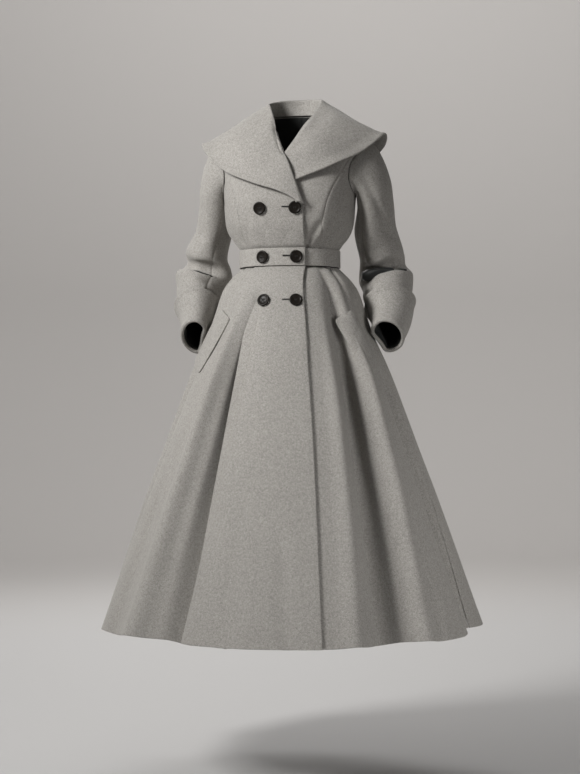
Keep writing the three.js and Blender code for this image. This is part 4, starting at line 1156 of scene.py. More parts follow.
@dataclass
class Bodice:
    """The six panels above the waistband."""

    finish: Finishes
    top: float = NECK_Z
    shoulder: float = -30.0

    @staticmethod
    def tucked(surface: Surface) -> Surface:
        """Adds the seam's dip at the waist and the swell over the bust to a surface."""

        def dressed(angle: Array, z: Array) -> Array:
            """The surface with its fine form."""
            waist = -1.3 * bell((z - WAIST_TOP_Z) / 4.0)
            crest = 2.6 * bell((np.abs(angle) - BODY.princess(z) + 2.0) / 6.5) * bell((z + 205) / 55)
            return surface(angle, z, waist + crest)

        return dressed

    def plans(self) -> list[PanelPlan]:
        """Lists the panels."""
        rows = level_rows(WAIST_TOP_Z + SEAM_GAP / 2, self.top, 4.5)
        left, right = self.tucked(BODY.bodice), self.tucked(BODY.right_bodice)

        def neck(surface: Surface, side: str, under: float) -> Callable[[Array], Array]:
            """The front limit: the front edge below the break, and the neck edge above it."""

            def limit(z: Array) -> Array:
                """The limit's angle at some heights."""
                below = under * BODY.over_edge(z)
                return BODY.angle_at_x(surface, np.where(z < BREAK_Z, below, BODY.neck_edge[side](z)), z)

            return limit

        plans = [
            PanelPlan(
                "bodice_front_right", right, rows,
                lambda z: seam_angle(BODY.bodice, -BODY.princess(z), z, 1), neck(right, "right", 1),
                Endings(last=Ending.ROLLED, low=Ending.SUNK, high=Ending.PLAIN), 4.5,
                EDGE_STEPS, STITCH_STEPS,
                (
                    Crease([(-36, -300), (-30, -262), (-22, -236)], (5, 9), 1.6, (0.8, 0)),
                    Crease([(-16, -302), (-12, -268), (-4, -244)], (5, 8), 1.1, (0.8, 0)),
                    Crease([(-38, -190), (-24, -178), (-8, -172)], (9, 12), 1.0),
                    Crease([(4, -298), (10, -274), (22, -262)], (6, 9), 0.9, (0.8, 0)),
                ),
                facing_last=90, edge_lift=2.0, stitching="bodice_front_stitching",
            ),
            PanelPlan(
                "bodice_front_left", left, rows,
                neck(left, "left", -1), lambda z: seam_angle(BODY.bodice, BODY.princess(z), z, -1),
                Endings(first=Ending.ROLLED, low=Ending.SUNK, high=Ending.PLAIN), 4.5,
                creases=(
                    Crease([(28, -308), (32, -276), (39, -236)], (5, 9), 3.4, (1, 0)),
                    Crease([(34, -308), (37.5, -284), (42, -252)], (3.5, 6), -1.6, (1, 0)),
                    Crease([(24, -240), (32, -214), (42, -190)], (8, 12), 1.2),
                ),
                facing_first=90,
            ),
        ]
        for side, sign in (("right", -1), ("left", 1)):
            plans += [self.side_front(side, sign, left, rows), self.back(side, sign, left, rows)]
        return plans

    def side_front(self, side: str, sign: int, surface: Surface, rows: Array) -> PanelPlan:
        """Plans the panel between the princess seam and the armhole."""
        deep = 1.0 if sign > 0 else 0.7
        return PanelPlan(
            f"bodice_side_front_{side}", surface, rows[rows < self.shoulder],
            lambda z: seam_angle(BODY.bodice, sign * BODY.princess(z), z, sign),
            lambda z: seam_angle(BODY.bodice, sign * (90 - armhole_angle(z)), z, -sign),
            Endings(high=Ending.PLAIN, low=Ending.SUNK), 4.5,
            creases=on_side(
                sign,
                Crease([(45, -308), (49, -276), (50, -238)], (5, 9), 3.6 * deep, (1, 0)),
                Crease([(57, -308), (63, -280), (70, -256)], (5, 8), 3.0 * deep, (1, 0)),
                Crease([(70, -306), (78, -284), (86, -268)], (5, 8), 2.4 * deep, (1, 0)),
                Crease([(62, -182), (60, -160), (61, -134)], (6, 9), 1.8 * deep, (0.6, 0)),
                Crease([(76, -190), (66, -206), (54, -214)], (7, 11), 1.6 * deep, (0.6, 0)),
            ),
        )

    def back(self, side: str, sign: int, surface: Surface, rows: Array) -> PanelPlan:
        """Plans the panel between the armhole and the centre back."""
        lean = 3.0 if sign > 0 else -2.0
        return PanelPlan(
            f"bodice_back_{side}", surface, rows,
            lambda z: seam_angle(BODY.bodice, sign * (90 + armhole_angle(z)), z, sign),
            lambda z: seam_angle(BODY.bodice, sign * 180.0, z, -sign),
            Endings(high=Ending.PLAIN, low=Ending.SUNK), 5.0,
            creases=on_side(
                sign,
                Crease([(104, -306), (100, -276), (97, -240)], (5, 9), 2.6, (1, 0)),
                Crease([(126 + lean, -306), (119, -272), (113, -228)], (6, 10), 3.0, (1, 0)),
                Crease([(150, -306), (146 + lean, -268), (141, -214)], (6, 11), 2.0, (1, 0)),
                Crease([(120, -172), (138, -196), (158 + lean, -204)], (8, 12), 1.8),
                Crease([(122, -120), (132, -150), (136, -186)], (7, 12), 1.6, (0.5, 0)),
            ),
        )

    def build(self) -> None:
        """Makes the panels."""
        for plan in self.plans():
            plan.build(self.finish, ["collar"])


@dataclass
class Waistband:
    """The inset band round the waist."""

    finish: Finishes

    @staticmethod
    def lift(z: Array) -> Array:
        """Gives how far the band lies outside the bodice: it is slightly full between its seams."""
        share = (z - (WAIST_TOP_Z + WAIST_BOTTOM_Z) / 2) / (WAIST_TOP_Z - WAIST_BOTTOM_Z)
        return WAISTBAND_LIFT + 0.7 * np.cos(np.pi * np.clip(share, -0.5, 0.5))

    @staticmethod
    def plain(angle: Array, z: Array) -> Array:
        """The band's outside."""
        return BODY.bodice(angle, z, Waistband.lift(z))

    @staticmethod
    def over(angle: Array, z: Array) -> Array:
        """The outside of its right end, which laps over the left one."""
        return BODY.right_bodice(angle, z, Waistband.lift(z))

    def plans(self) -> list[PanelPlan]:
        """Lists the three lengths of the band."""
        rows = level_rows(WAIST_BOTTOM_Z + SEAM_GAP / 2, WAIST_TOP_Z - SEAM_GAP / 2, 4.0)
        return [
            PanelPlan(
                "waistband_front_right", self.over, rows,
                lambda z: seam_angle(self.plain, -90.0, z, 1),
                lambda z: BODY.angle_at_x(self.over, BODY.over_edge(z), z),
                Endings(last=Ending.ROLLED, low=Ending.ROLLED), 5.0, EDGE_STEPS, STITCH_STEPS,
                (
                    Crease([(-70, -318), (-58, -330), (-44, -336)], (6, 8), 0.9),
                    Crease([(-26, -318), (-12, -326), (2, -322)], (6, 8), 0.6),
                ),
                facing_last=90, edge_lift=2.0, stitching="waistband_front_stitching",
            ),
            PanelPlan(
                "waistband_front_left", self.plain, rows,
                lambda z: BODY.angle_at_x(self.plain, -BODY.over_edge(z), z),
                lambda z: seam_angle(self.plain, 90.0, z, -1),
                Endings(first=Ending.ROLLED, low=Ending.ROLLED), 5.0,
                creases=(
                    Crease([(30, -318), (38, -334), (50, -344)], (5, 7), 1.2),
                    Crease([(58, -316), (66, -330), (78, -338)], (5, 8), 1.0),
                ),
                facing_first=90,
            ),
            PanelPlan(
                "waistband_back", self.plain, rows,
                lambda z: seam_angle(self.plain, 90.0, z, 1),
                lambda z: seam_angle(self.plain, 270.0, z, -1),
                Endings(low=Ending.ROLLED), 6.0,
                creases=(
                    Crease([(116, -318), (128, -332), (138, -344)], (6, 8), 1.2),
                    Crease([(176, -316), (184, -330), (180, -344)], (6, 9), 0.9),
                    Crease([(226, -320), (238, -334), (252, -338)], (6, 8), 1.2),
                ),
            ),
        ]

    def build(self) -> None:
        """Makes the band."""
        for plan in self.plans():
            plan.build(self.finish, ["bodice_front_right", "bodice_front_left"])


@dataclass
class Skirt:
    """The four flared panels."""

    finish: Finishes
    step: float = 8.0
    row_step: float = 9.0

    @staticmethod
    def hung(surface: Surface) -> Surface:
        """Adds the dip under the waistband and the shallow ripples of the hem to a surface."""

        def dressed(angle: Array, z: Array) -> Array:
            """The surface with its fine form."""
            fall = np.clip((WAIST_BOTTOM_Z - z) / (WAIST_BOTTOM_Z - HEM_Z), 0, 1)
            ripple = (
                1.6 * np.sin(np.radians(angle * 11 + 40))
                + 1.3 * np.sin(np.radians(angle * 17 + 150 + 30 * np.sin(np.radians(angle * 2))))
            )
            tuck = -2.6 * bell((z - WAIST_BOTTOM_Z) / 5.5)
            hem = 0.5 * bell((z - HEM_Z - 46) / 5.0)
            return surface(angle, z, ripple * fall + tuck - hem)

        return dressed

    def plans(self) -> list[PanelPlan]:
        """Lists the panels."""
        rows = level_rows(HEM_Z, WAIST_BOTTOM_Z - SEAM_GAP / 2, self.row_step)
        left, right = self.hung(BODY.skirt), self.hung(BODY.right_skirt)
        hem, back = Ending.ROLLED, Endings(low=Ending.ROLLED, high=Ending.SUNK)
        return [
            PanelPlan(
                "skirt_front_right", right, rows,
                lambda z: seam_angle(BODY.skirt, -90.0, z, 1),
                lambda z: BODY.angle_at_x(right, BODY.over_edge(z), z),
                Endings(last=Ending.ROLLED, low=hem, high=Ending.SUNK), self.step, EDGE_STEPS, STITCH_STEPS,
                (
                    Crease([(-12, -380), (-19, -560), (-23.5, -800), (-27, -1201)], (10, 22), 52, (0, 1)),
                    Crease([(-23, -380), (-31, -560), (-37, -850), (-41, -1201)], (12, 30), -28, (0, 1)),
                    Crease([(-60, -400), (-64, -620), (-66, -860), (-68, -1201)], (12, 30), 13, (0, 1)),
                    Crease([(-58, -356), (-60, -480), (-62, -760)], (7, 22), 4.6, (1, 0)),
                    Crease([(-74, -356), (-73, -450), (-76, -640)], (6, 16), 3.0, (1, 0)),
                    Crease([(-38, -354), (-42, -430), (-46, -600)], (6, 18), 2.6, (1, 0)),
                    Crease([(-8, -1201), (-7, -1010), (-4, -800)], (24, 14), 5.0, (1, 0)),
                    Crease([(-52, -1201), (-51, -1000), (-50, -820)], (22, 14), 5.5, (1, 0)),
                    Crease([(-74, -1201), (-72, -1020), (-69, -860)], (22, 14), 6.0, (1, 0)),
                    Crease([(10, -1201), (9, -1060), (7, -940)], (20, 12), 3.5, (1, 0)),
                ),
                facing_low=50, facing_last=95, edge_lift=2.0, stitching="skirt_front_stitching",
            ),
            PanelPlan(
                "skirt_front_left", left, rows,
                lambda z: BODY.angle_at_x(left, -BODY.over_edge(z), z),
                lambda z: seam_angle(BODY.skirt, 90.0, z, -1),
                Endings(first=Ending.ROLLED, low=hem, high=Ending.SUNK), self.step,
                creases=(
                    Crease([(46, -362), (48, -560), (46, -800), (43, -1201)], (8, 24), 38, (0.06, 1)),
                    Crease([(35, -430), (34, -640), (32, -880), (29, -1201)], (12, 24), -13, (0, 1)),
                    Crease([(54, -362), (59, -560), (58, -800), (54, -1201)], (9, 26), -13, (0.06, 1)),
                    Crease([(71, -400), (80, -640), (84, -880), (86, -1201)], (10, 24), 15, (0, 1)),
                    Crease([(62, -356), (61, -440), (60, -620)], (6, 16), 3.4, (1, 0)),
                    Crease([(58, -1201), (59, -1040), (60, -860)], (20, 13), 5.0, (1, 0)),
                    Crease([(74, -1201), (74, -1060), (75, -900)], (16, 12), 4.5, (1, 0)),
                ),
                facing_low=50, facing_first=95,
            ),
            PanelPlan(
                "skirt_back_left", left, rows,
                lambda z: seam_angle(BODY.skirt, 90.0, z, 1),
                lambda z: seam_angle(BODY.skirt, 180.0, z, -1),
                back, self.step,
                creases=(
                    Crease([(112, -360), (116, -640), (118, -900), (119, -1201)], (10, 27), 18, (0.2, 1)),
                    Crease([(147, -360), (149, -600), (149, -860), (151, -1201)], (10, 30), 23, (0.2, 1)),
                    Crease([(99, -356), (100, -460), (101, -640)], (6, 16), 3.2, (1, 0)),
                    Crease([(132, -356), (131, -440), (133, -600)], (6, 16), 3.0, (1, 0)),
                    Crease([(104, -1201), (103, -1040), (102, -860)], (20, 12), 5.0, (1, 0)),
                    Crease([(134, -1201), (133, -1000), (134, -820)], (22, 13), 6.0, (1, 0)),
                    Crease([(166, -1201), (165, -1060), (165, -900)], (20, 12), 4.5, (1, 0)),
                ),
                facing_low=50,
            ),
            PanelPlan(
                "skirt_back_right", left, rows,
                lambda z: seam_angle(BODY.skirt, 180.0, z, 1),
                lambda z: seam_angle(BODY.skirt, 270.0, z, -1),
                back, self.step,
                creases=(
                    Crease([(214, -360), (214, -640), (213, -900), (212, -1201)], (10, 30), 22, (0.2, 1)),
                    Crease([(246, -366), (244, -600), (243, -860), (244, -1201)], (10, 26), 17, (0.2, 1)),
                    Crease([(229, -356), (230, -470), (229, -660)], (6, 16), 3.2, (1, 0)),
                    Crease([(262, -356), (260, -430), (258, -580)], (6, 15), 2.8, (1, 0)),
                    Crease([(198, -1201), (198, -1040), (197, -860)], (20, 12), 5.0, (1, 0)),
                    Crease([(229, -1201), (229, -1000), (230, -820)], (22, 13), 6.0, (1, 0)),
                    Crease([(258, -1201), (257, -1060), (256, -900)], (18, 12), 4.5, (1, 0)),
                ),
                facing_low=50,
            ),
        ]

    def build(self) -> None:
        """Makes the panels."""
        for plan in self.plans():
            plan.build(self.finish, ["waistband_front_right", "waistband_back"], "hung")


@dataclass
class Stitching:
    """A row of short raised stitches."""

    name: str
    finish: Finishes
    length: float = 3.6
    gap: float = 1.3
    radius: float = 0.34

    @classmethod
    def along_edge(cls, name: str, wall: Wall, finish: Finishes) -> bpy.types.Object:
        """Sews a row beside a wall's last edge, below the collar.

        Args:
            name: The piece's name.
            wall: The wall, already built.
            finish: The coat's materials.

        Returns:
            The row of stitches.
        """
        column = -1 - STITCH_STEPS.index(STITCH_INSET)
        line, normals = wall.face[:, column], wall.normals[:, column]
        below = line[:, 2] < BREAK_Z - 8
        return cls(name, finish).build(line[below][1:-1], normals[below][1:-1])

    def build(self, line: Array, normals: Array) -> bpy.types.Object:
        """Makes the stitches along a line.

        Args:
            line: Points of the line, close together.
            normals: The cloth's outward normals there.

        Returns:
            The object.
        """
        steps = np.concatenate([[0.0], np.cumsum(np.linalg.norm(np.diff(line, axis=0), axis=1))])
        pitch = self.length + self.gap
        starts = np.arange(0, steps[-1] - self.length, pitch)

        def read(values: Array, at: Array) -> Array:
            """Reads a row of vectors at some lengths."""
            return np.stack([np.interp(at, steps, values[:, k]) for k in range(3)], axis=-1)

        shares = np.array([0.0, 0.16, 0.5, 0.84, 1.0])
        swell = np.array([0.25, 0.85, 1.0, 0.85, 0.25])
        sink = np.array([-0.6, -0.1, 0.25, -0.1, -0.6])
        at = starts[:, None] + self.length * shares
        centre, up = read(line, at), unit(read(normals, at))
        along = unit(np.gradient(centre, axis=1))
        side = unit(np.cross(along, up))
        turns = np.radians(np.arange(6) * 60.0)
        ring = side[:, :, None] * np.cos(turns)[:, None] + up[:, :, None] * np.sin(turns)[:, None]
        lifted = centre + up * (sink * self.radius)[:, None]
        points = lifted[:, :, None] + ring * (self.radius * swell)[:, None, None]
        rings, sides = points.shape[1:3]
        faces = []
        for first in range(0, len(starts) * rings * sides, rings * sides):
            last = first + (rings - 1) * sides
            faces += tube_faces(rings, sides, first)
            faces += [tuple(range(first + sides - 1, first - 1, -1)), tuple(range(last, last + sides))]
        made = new_object(self.name, points, faces, [self.finish.grey_thread.material])
        log.info("%s: %d stitches", self.name, len(starts))
        return made


@dataclass
class Collar:
    """The wide cape collar with its stand, in one wall."""

    finish: Finishes
    length: float = 1010.0
    fall: float = 185.0
    cloth: float = 4.4
    clearance: float = 5.4
    seat: float = 3.6
    seat_lift: float = 0.3
    stand: float = 0.62
    turn: float = 0.2

    def __post_init__(self) -> None:
        """Makes the four lines that the collar's sections hang on."""
        seats = [self.neck_point(*station[0]) for station in COLLAR_STATIONS]
        points = np.array([point for point, _ in seats])
        normals = np.array([normal for _, normal in seats])
        after = np.concatenate([points[1:], points[-1:]])
        before = np.concatenate([points[:1], points[:-1]])
        into = unit(np.cross(after - before, normals))
        feet = points + into * self.seat + normals * self.seat_lift
        columns = [np.array([station[k] for station in COLLAR_STATIONS], float) for k in (1, 2, 3)]
        at = length_shares(columns[1])
        self.lines = [PointCurve(rows, at) for rows in (feet, *columns)]

    @staticmethod
    def neck_point(kind: str, value: float) -> tuple[Array, Array]:
        """Gives the place and normal of a point on the neck edge."""
        surface = BODY.right_bodice if kind == "right" else BODY.bodice
        if kind == "angle":
            angle, z = np.array([float(value)]), np.array([NECK_Z])
        else:
            z = np.array([float(value)])
            angle = BODY.angle_at_x(surface, BODY.neck_edge[kind](z), z)
        return surface(angle, z)[0], normal_at(surface, angle, z)[0]

    def middle(self, along: Array, across: Array) -> Array:
        """Gives points in the middle of the collar's cloth.

        Args:
            along: Shares from the right end round the back to the left end.
            across: Shares from the neck over the roll to the outer edge.

        Returns:
            The points in millimetres.
        """
        foot, roll, middle, edge = (line(along) for line in self.lines)
        stand = foot + (roll - foot) * self.stand
        turn = roll + (middle - roll) * self.turn
        controls = np.stack([foot, stand, roll, turn, middle, edge])
        spans = len(controls) - 2
        at = np.clip(across, 0, 1) * spans
        i = np.minimum(np.floor(at).astype(int), spans - 1)
        t = (at - i)[..., None]
        pick = np.indices(i.shape)

        def read(n: Array) -> Array:
            """Picks one control point for each place."""
            return controls[(n, *pick)]

        start = np.where((i == 0)[..., None], read(i), (read(i) + read(i + 1)) / 2)
        end = np.where((i == spans - 1)[..., None], read(i + 2), (read(i + 1) + read(i + 2)) / 2)
        point = start * (1 - t) ** 2 + read(i + 1) * 2 * t * (1 - t) + end * t * t
        falling = smooth((across - 0.4) / 0.16)[..., None]
        clear = BODY.keep_clear(point, np.full(across.shape, self.clearance), 3.0, along < 0.5)
        return point + (clear - point) * falling

    def build(self) -> None:
        """Makes the collar and its stitching."""
        along = spaced(self.length, 6.0, EDGE_STEPS, EDGE_STEPS)
        across = spaced(self.fall, 5.0, EDGE_STEPS, STITCH_STEPS)
        u, v = np.meshgrid(along, across)
        middle = self.middle(u, v)
        outward = middle - np.array([8.0, 5.0, -60.0])
        normals = grid_normals(middle, outward, False)
        edge = edge_distances(middle, 0)[1]
        wave = 1.2 * np.sin(u * 41.0 + 0.6) * smooth((v - 0.45) / 0.4)
        wave = wave + 0.8 * np.sin(u * 67.0 + v * 3.0) * smooth((v - 0.5) / 0.4)
        welt = 0.45 * smooth((edge - 1.0) / 2.0) * (1 - smooth((edge - 7.2) / 1.6))
        groove = -0.35 * bell((edge - STITCH_INSET) / 0.8)
        flare = 3.6 * smooth(1 - edge / 26.0)
        outer = middle + normals * (self.cloth / 2 + wave + welt + groove + flare)[..., None]
        creases = (
            Crease([(0.13, 0.42), (0.17, 0.6), (0.2, 0.82)], (12, 22), 2.2),
            Crease([(0.27, 0.4), (0.29, 0.62), (0.31, 0.84)], (12, 20), 2.4),
            Crease([(0.42, 0.4), (0.43, 0.62), (0.44, 0.9)], (12, 20), 2.6, (0, 0.6)),
            Crease([(0.56, 0.4), (0.56, 0.62), (0.55, 0.9)], (12, 20), 2.6, (0, 0.6)),
            Crease([(0.72, 0.4), (0.7, 0.62), (0.69, 0.84)], (12, 22), 2.4),
            Crease([(0.86, 0.42), (0.83, 0.6), (0.8, 0.82)], (12, 22), 2.0),
        )
        depth = crease_depth(creases, self.middle, outer)
        ends = Endings(Ending.THICK, Ending.THICK, Ending.PLAIN, Ending.THICK)
        wall = Wall("collar", outer, outward, ends, self.cloth, creases=depth)
        row = int(np.argmin(np.abs(edge[:, edge.shape[1] // 2] - STITCH_INSET)))
        line = (outer - normals * depth[..., None])[row]
        stitched = slice(9, -9)
        line, out = line[stitched], normals[row, stitched]
        wall.dress(
            self.finish, ["bodice_back_right", "bodice_back_left"],
            sew=lambda: Stitching("collar_stitching", self.finish).build(line, out),
        )


# Creases of the sleeves by side: degrees round and share of the length
SLEEVE_CREASES = {
    -1: (
        Crease([(0, 0.49), (45, 0.512), (100, 0.545), (170, 0.6)], (16, 20), 17.0, (0.6, 0.2)),
        Crease([(0, 0.6), (60, 0.615), (105, 0.63)], (22, 22), -8.0, (0.3, 0)),
        Crease([(118, 0.745), (145, 0.74), (170, 0.72)], (9, 12), 8.0, (0, 0.5)),
        Crease([(150, 0.1), (138, 0.28), (122, 0.44)], (10, 14), 5.0, (0.3, 0)),
        Crease([(40, 0.1), (52, 0.26), (78, 0.42)], (11, 16), 3.5, (0.3, 0)),
        Crease([(-60, 0.52), (-20, 0.545), (20, 0.525)], (14, 16), 7.0),
        Crease([(-120, 0.18), (-96, 0.32), (-70, 0.44)], (11, 15), 4.0),
    ),
    1: (
        Crease([(165, 0.58), (120, 0.55), (65, 0.522), (5, 0.53)], (18, 17), 18.0, (0.4, 0.6)),
        Crease([(130, 0.64), (80, 0.62), (10, 0.6)], (22, 22), -8.0, (0, 0.3)),
        Crease([(160, 0.7), (140, 0.735), (112, 0.745)], (12, 9), 8.0, (0.5, 0)),
        Crease([(82, 0.07), (60, 0.2), (34, 0.34), (14, 0.46)], (9, 15), 7.0, (0.5, 0)),
        Crease([(100, 0.1), (92, 0.24), (74, 0.4)], (9, 14), -4.5, (0.3, 0)),
        Crease([(128, 0.1), (126, 0.26), (112, 0.42)], (9, 14), 7.0, (0.5, 0)),
        Crease([(-64, 0.52), (-24, 0.545), (20, 0.53)], (14, 16), 7.0),
        Crease([(-116, 0.2), (-92, 0.33), (-66, 0.44)], (11, 15), 4.0),
    ),
}


@dataclass
class Sleeve:
    """One sleeve of two panels, with its turned-back cuff and the lining inside."""

    finish: Finishes
    sign: int
    cap: float = 0.13
    cuff_start: float = 0.76
    cuff_flare: float = 5.0
    length: float = 545.0
    girth: float = 400.0
    seat: float = 0.8
    clearance: float = 3.2
    cuff_clearance: float = 11.5
    cuff_gap: float = 0.9
    cuff_roll: float = 4.2

    def __post_init__(self) -> None:
        """Makes the sleeve's centre line and widths."""
        rows = np.array(SLEEVE_TABLES[self.sign], float)
        self.side = "left" if self.sign > 0 else "right"
        self.centre = PointCurve(rows[:, :3])
        self.widths = [TableCurve(self.centre.at, rows[:, k]) for k in (3, 4, 5)]

    def rim(self, around: Array) -> tuple[Array, Array]:
        """Gives points of the armhole's edge, and the bodice's normals there."""
        turned = turn_between(around, 0.0)
        middle, reach = (SHOULDER_TIP_Z + ARMPIT_Z) / 2, (SHOULDER_TIP_Z - ARMPIT_Z) / 2
        z = middle + reach * np.cos(np.radians(np.abs(turned)))
        angle = self.sign * (90 - np.sign(turned) * armhole_angle(z))
        normal = normal_at(BODY.bodice, angle, z)
        inward = (normal[..., :1] * self.sign) < 0
        return BODY.bodice(angle, z), np.where(inward, -normal, normal)

    def flare(self, share: Array) -> Array:
        """Gives how far the cuff stands away, beyond its plain gap."""
        return self.cuff_flare * (1 - smooth((share - self.cuff_start) / (1 - self.cuff_start)))

    def outside(self, around: Array, share: Array) -> Array:
        """Gives points on the sleeve's outside.

        Args:
            around: Degrees round the sleeve: 0 outside, 90 in front, 180 towards the body.
            share: Shares of its length, from the armhole to the mouth.

        Returns:
            The points in millimetres.
        """
        centre, along = self.centre(share), self.centre.direction(share)
        out = np.zeros_like(along)
        out[..., 0] = self.sign
        out = unit(out - along * (out * along).sum(-1, keepdims=True))
        front = np.cross(along, out) * self.sign
        c, s = np.cos(np.radians(around)), np.sin(np.radians(around))
        dent = np.zeros(np.broadcast(around, share).shape)
        for at, angle, reach, width, depth, slope in ELBOW_FOLDS[self.sign]:
            turned = turn_between(around, angle)
            fade = smooth((1 - np.abs(turned) / reach) * 1.5)
            dent = dent + depth * bell((share - at - slope * turned) / width) * fade
        sideways = np.where(c > 0, self.widths[0](share), self.widths[1](share)) - dent
        across = self.widths[2](share) - dent
        tube = centre + out * (sideways * c)[..., None] + front * (across * s)[..., None]
        near = smooth((share - 0.6) / (self.cuff_start - 0.6))
        clearance = self.clearance + (self.cuff_clearance + self.flare(share) - self.clearance) * near
        t = np.clip(share / self.cap, 0, 1)
        point, normal = self.rim(around)
        root = point + normal * (self.seat + 24.0 * t)[..., None]
        mixed = root + (tube - root) * smooth(t)[..., None]
        in_cap = share < self.cap
        target = np.where(in_cap, self.seat + (clearance - self.seat) * t, clearance)
        softness = np.where(in_cap, 0.1 + 8.0 * t, 8.0)
        return BODY.keep_clear(np.where(in_cap[..., None], mixed, tube), target, softness, ~in_cap)

    def grid(self, turns: Array, shares: Array, closed: bool = True) -> tuple[Array, Array, Array]:
        """Gives a grid on the outside, its rough outward direction and its normals."""
        around, share = np.meshgrid(turns, shares)
        points = self.outside(around, share)
        outward = points - self.centre(share)
        return points, outward, grid_normals(points, outward, closed)

    def build(self) -> None:
        """Makes the panels, the cuff and the lining."""
        shares = spaced(self.length, 4.5, EDGE_STEPS, EDGE_STEPS)
        for name, start, end in (("top_sleeve", -90.0, 126.0), ("under_sleeve", 126.0, 270.0)):
            width = self.girth * (end - start) / 360
            turns = start + (end - start) * spaced(width, 4.2, EDGE_STEPS, EDGE_STEPS)
            points, outward, normals = self.grid(turns, shares, False)
            share = np.repeat(shares[:, None], len(turns), axis=1)
            points = points + normals * (CLOTH * (1 - smooth(share / 0.03)))[..., None]
            depth = crease_depth(SLEEVE_CREASES[self.sign], self.outside, points)
            depth = depth * smooth((self.cuff_start + 0.02 - share) / 0.06)
            wall = Wall(
                f"{name}_{self.side}", points, outward, Endings(low=Ending.SUNK),
                lined=np.ones(share.shape, bool), creases=depth,
            )
            wall.dress(self.finish, [f"bodice_side_front_{self.side}", f"bodice_back_{self.side}"])
        self.build_cuff()
        self.build_lining()

    def build_cuff(self) -> None:
        """Makes the cuff: it leaves the mouth's edge, rolls out and runs back up."""
        turns = np.arange(0, 360, 3.75)
        mouth, _, normal = self.grid(turns, np.array([0.97, 0.985, 1.0]))
        along = self.centre.direction(np.ones(len(turns)))
        inner, outer = -CLOTH / 2 - 0.2, self.cuff_roll
        middle_roll, radius = (inner + outer) / 2, (outer - inner) / 2
        roll = []
        for turn in np.radians([0.0, 18, 40, 65, 90, 115, 140, 162]):
            offset = middle_roll - radius * math.cos(turn)
            roll.append(mouth[-1] + normal[-1] * offset + along * radius * math.sin(turn))
        length = (1 - self.cuff_start) * self.length
        shares = 1 - (1 - self.cuff_start) * spaced(length, 4.0, (0.0, 2.0, 4.0), EDGE_STEPS)
        points, _, normals = self.grid(turns, shares)
        from_top, from_mouth = (shares - self.cuff_start) * self.length, (1 - shares) * self.length
        gap = self.cuff_gap + self.flare(shares) + 2.6 * smooth(1 - from_top / 14.0)
        gap = gap + (outer - CLOTH / 2 - self.cuff_gap) * (1 - smooth(from_mouth / 16.0))
        body = points + normals * (gap + CLOTH / 2)[:, None, None]
        middle = np.concatenate([roll, body])
        outward = np.concatenate([np.zeros((len(roll), len(turns), 3)), body - self.centre(shares)[:, None]])
        facing = grid_normals(middle, outward, True)
        wall = Wall(
            f"cuff_{self.side}", middle + facing * (CLOTH / 2), outward,
            Endings(high=Ending.THICK), closed=True,
        )
        row = int(np.argmin(np.abs(edge_distances(middle, 0)[1].mean(1) - STITCH_INSET)))
        line = middle[row] + facing[row] * (CLOTH / 2)
        loop = np.concatenate([line, line[:1]])
        sides = np.concatenate([facing[row], facing[row, :1]])
        wall.dress(
            self.finish, [f"top_sleeve_{self.side}"], "folded",
            lambda: Stitching(f"cuff_stitching_{self.side}", self.finish).build(loop, sides),
        )

    def build_lining(self) -> None:
        """Makes the lining that shows inside the mouth, with its loose folds."""
        turns = np.arange(0, 360, 5.0)
        shares = 0.8 + 0.186 * spaced(0.186 * self.length, 4.0, (0.0, 1.0), (0.0, 1.0))
        points, outward, normals = self.grid(turns, shares)
        around, share = np.meshgrid(np.radians(turns), shares)
        loose = 1.3 + 0.8 * np.sin(5 * around + 14 * share) + 0.5 * np.sin(9 * around + 1.0)
        fade = 1 - smooth((share - 0.965) / 0.02)
        outer = points - normals * (CLOTH + 0.6 + loose * fade)[..., None]
        wall = Wall(f"cuff_lining_{self.side}", outer, outward, Endings(), LINING_CLOTH, closed=True)
        wall.dress(self.finish, [f"top_sleeve_{self.side}", f"under_sleeve_{self.side}"], slot="lining")


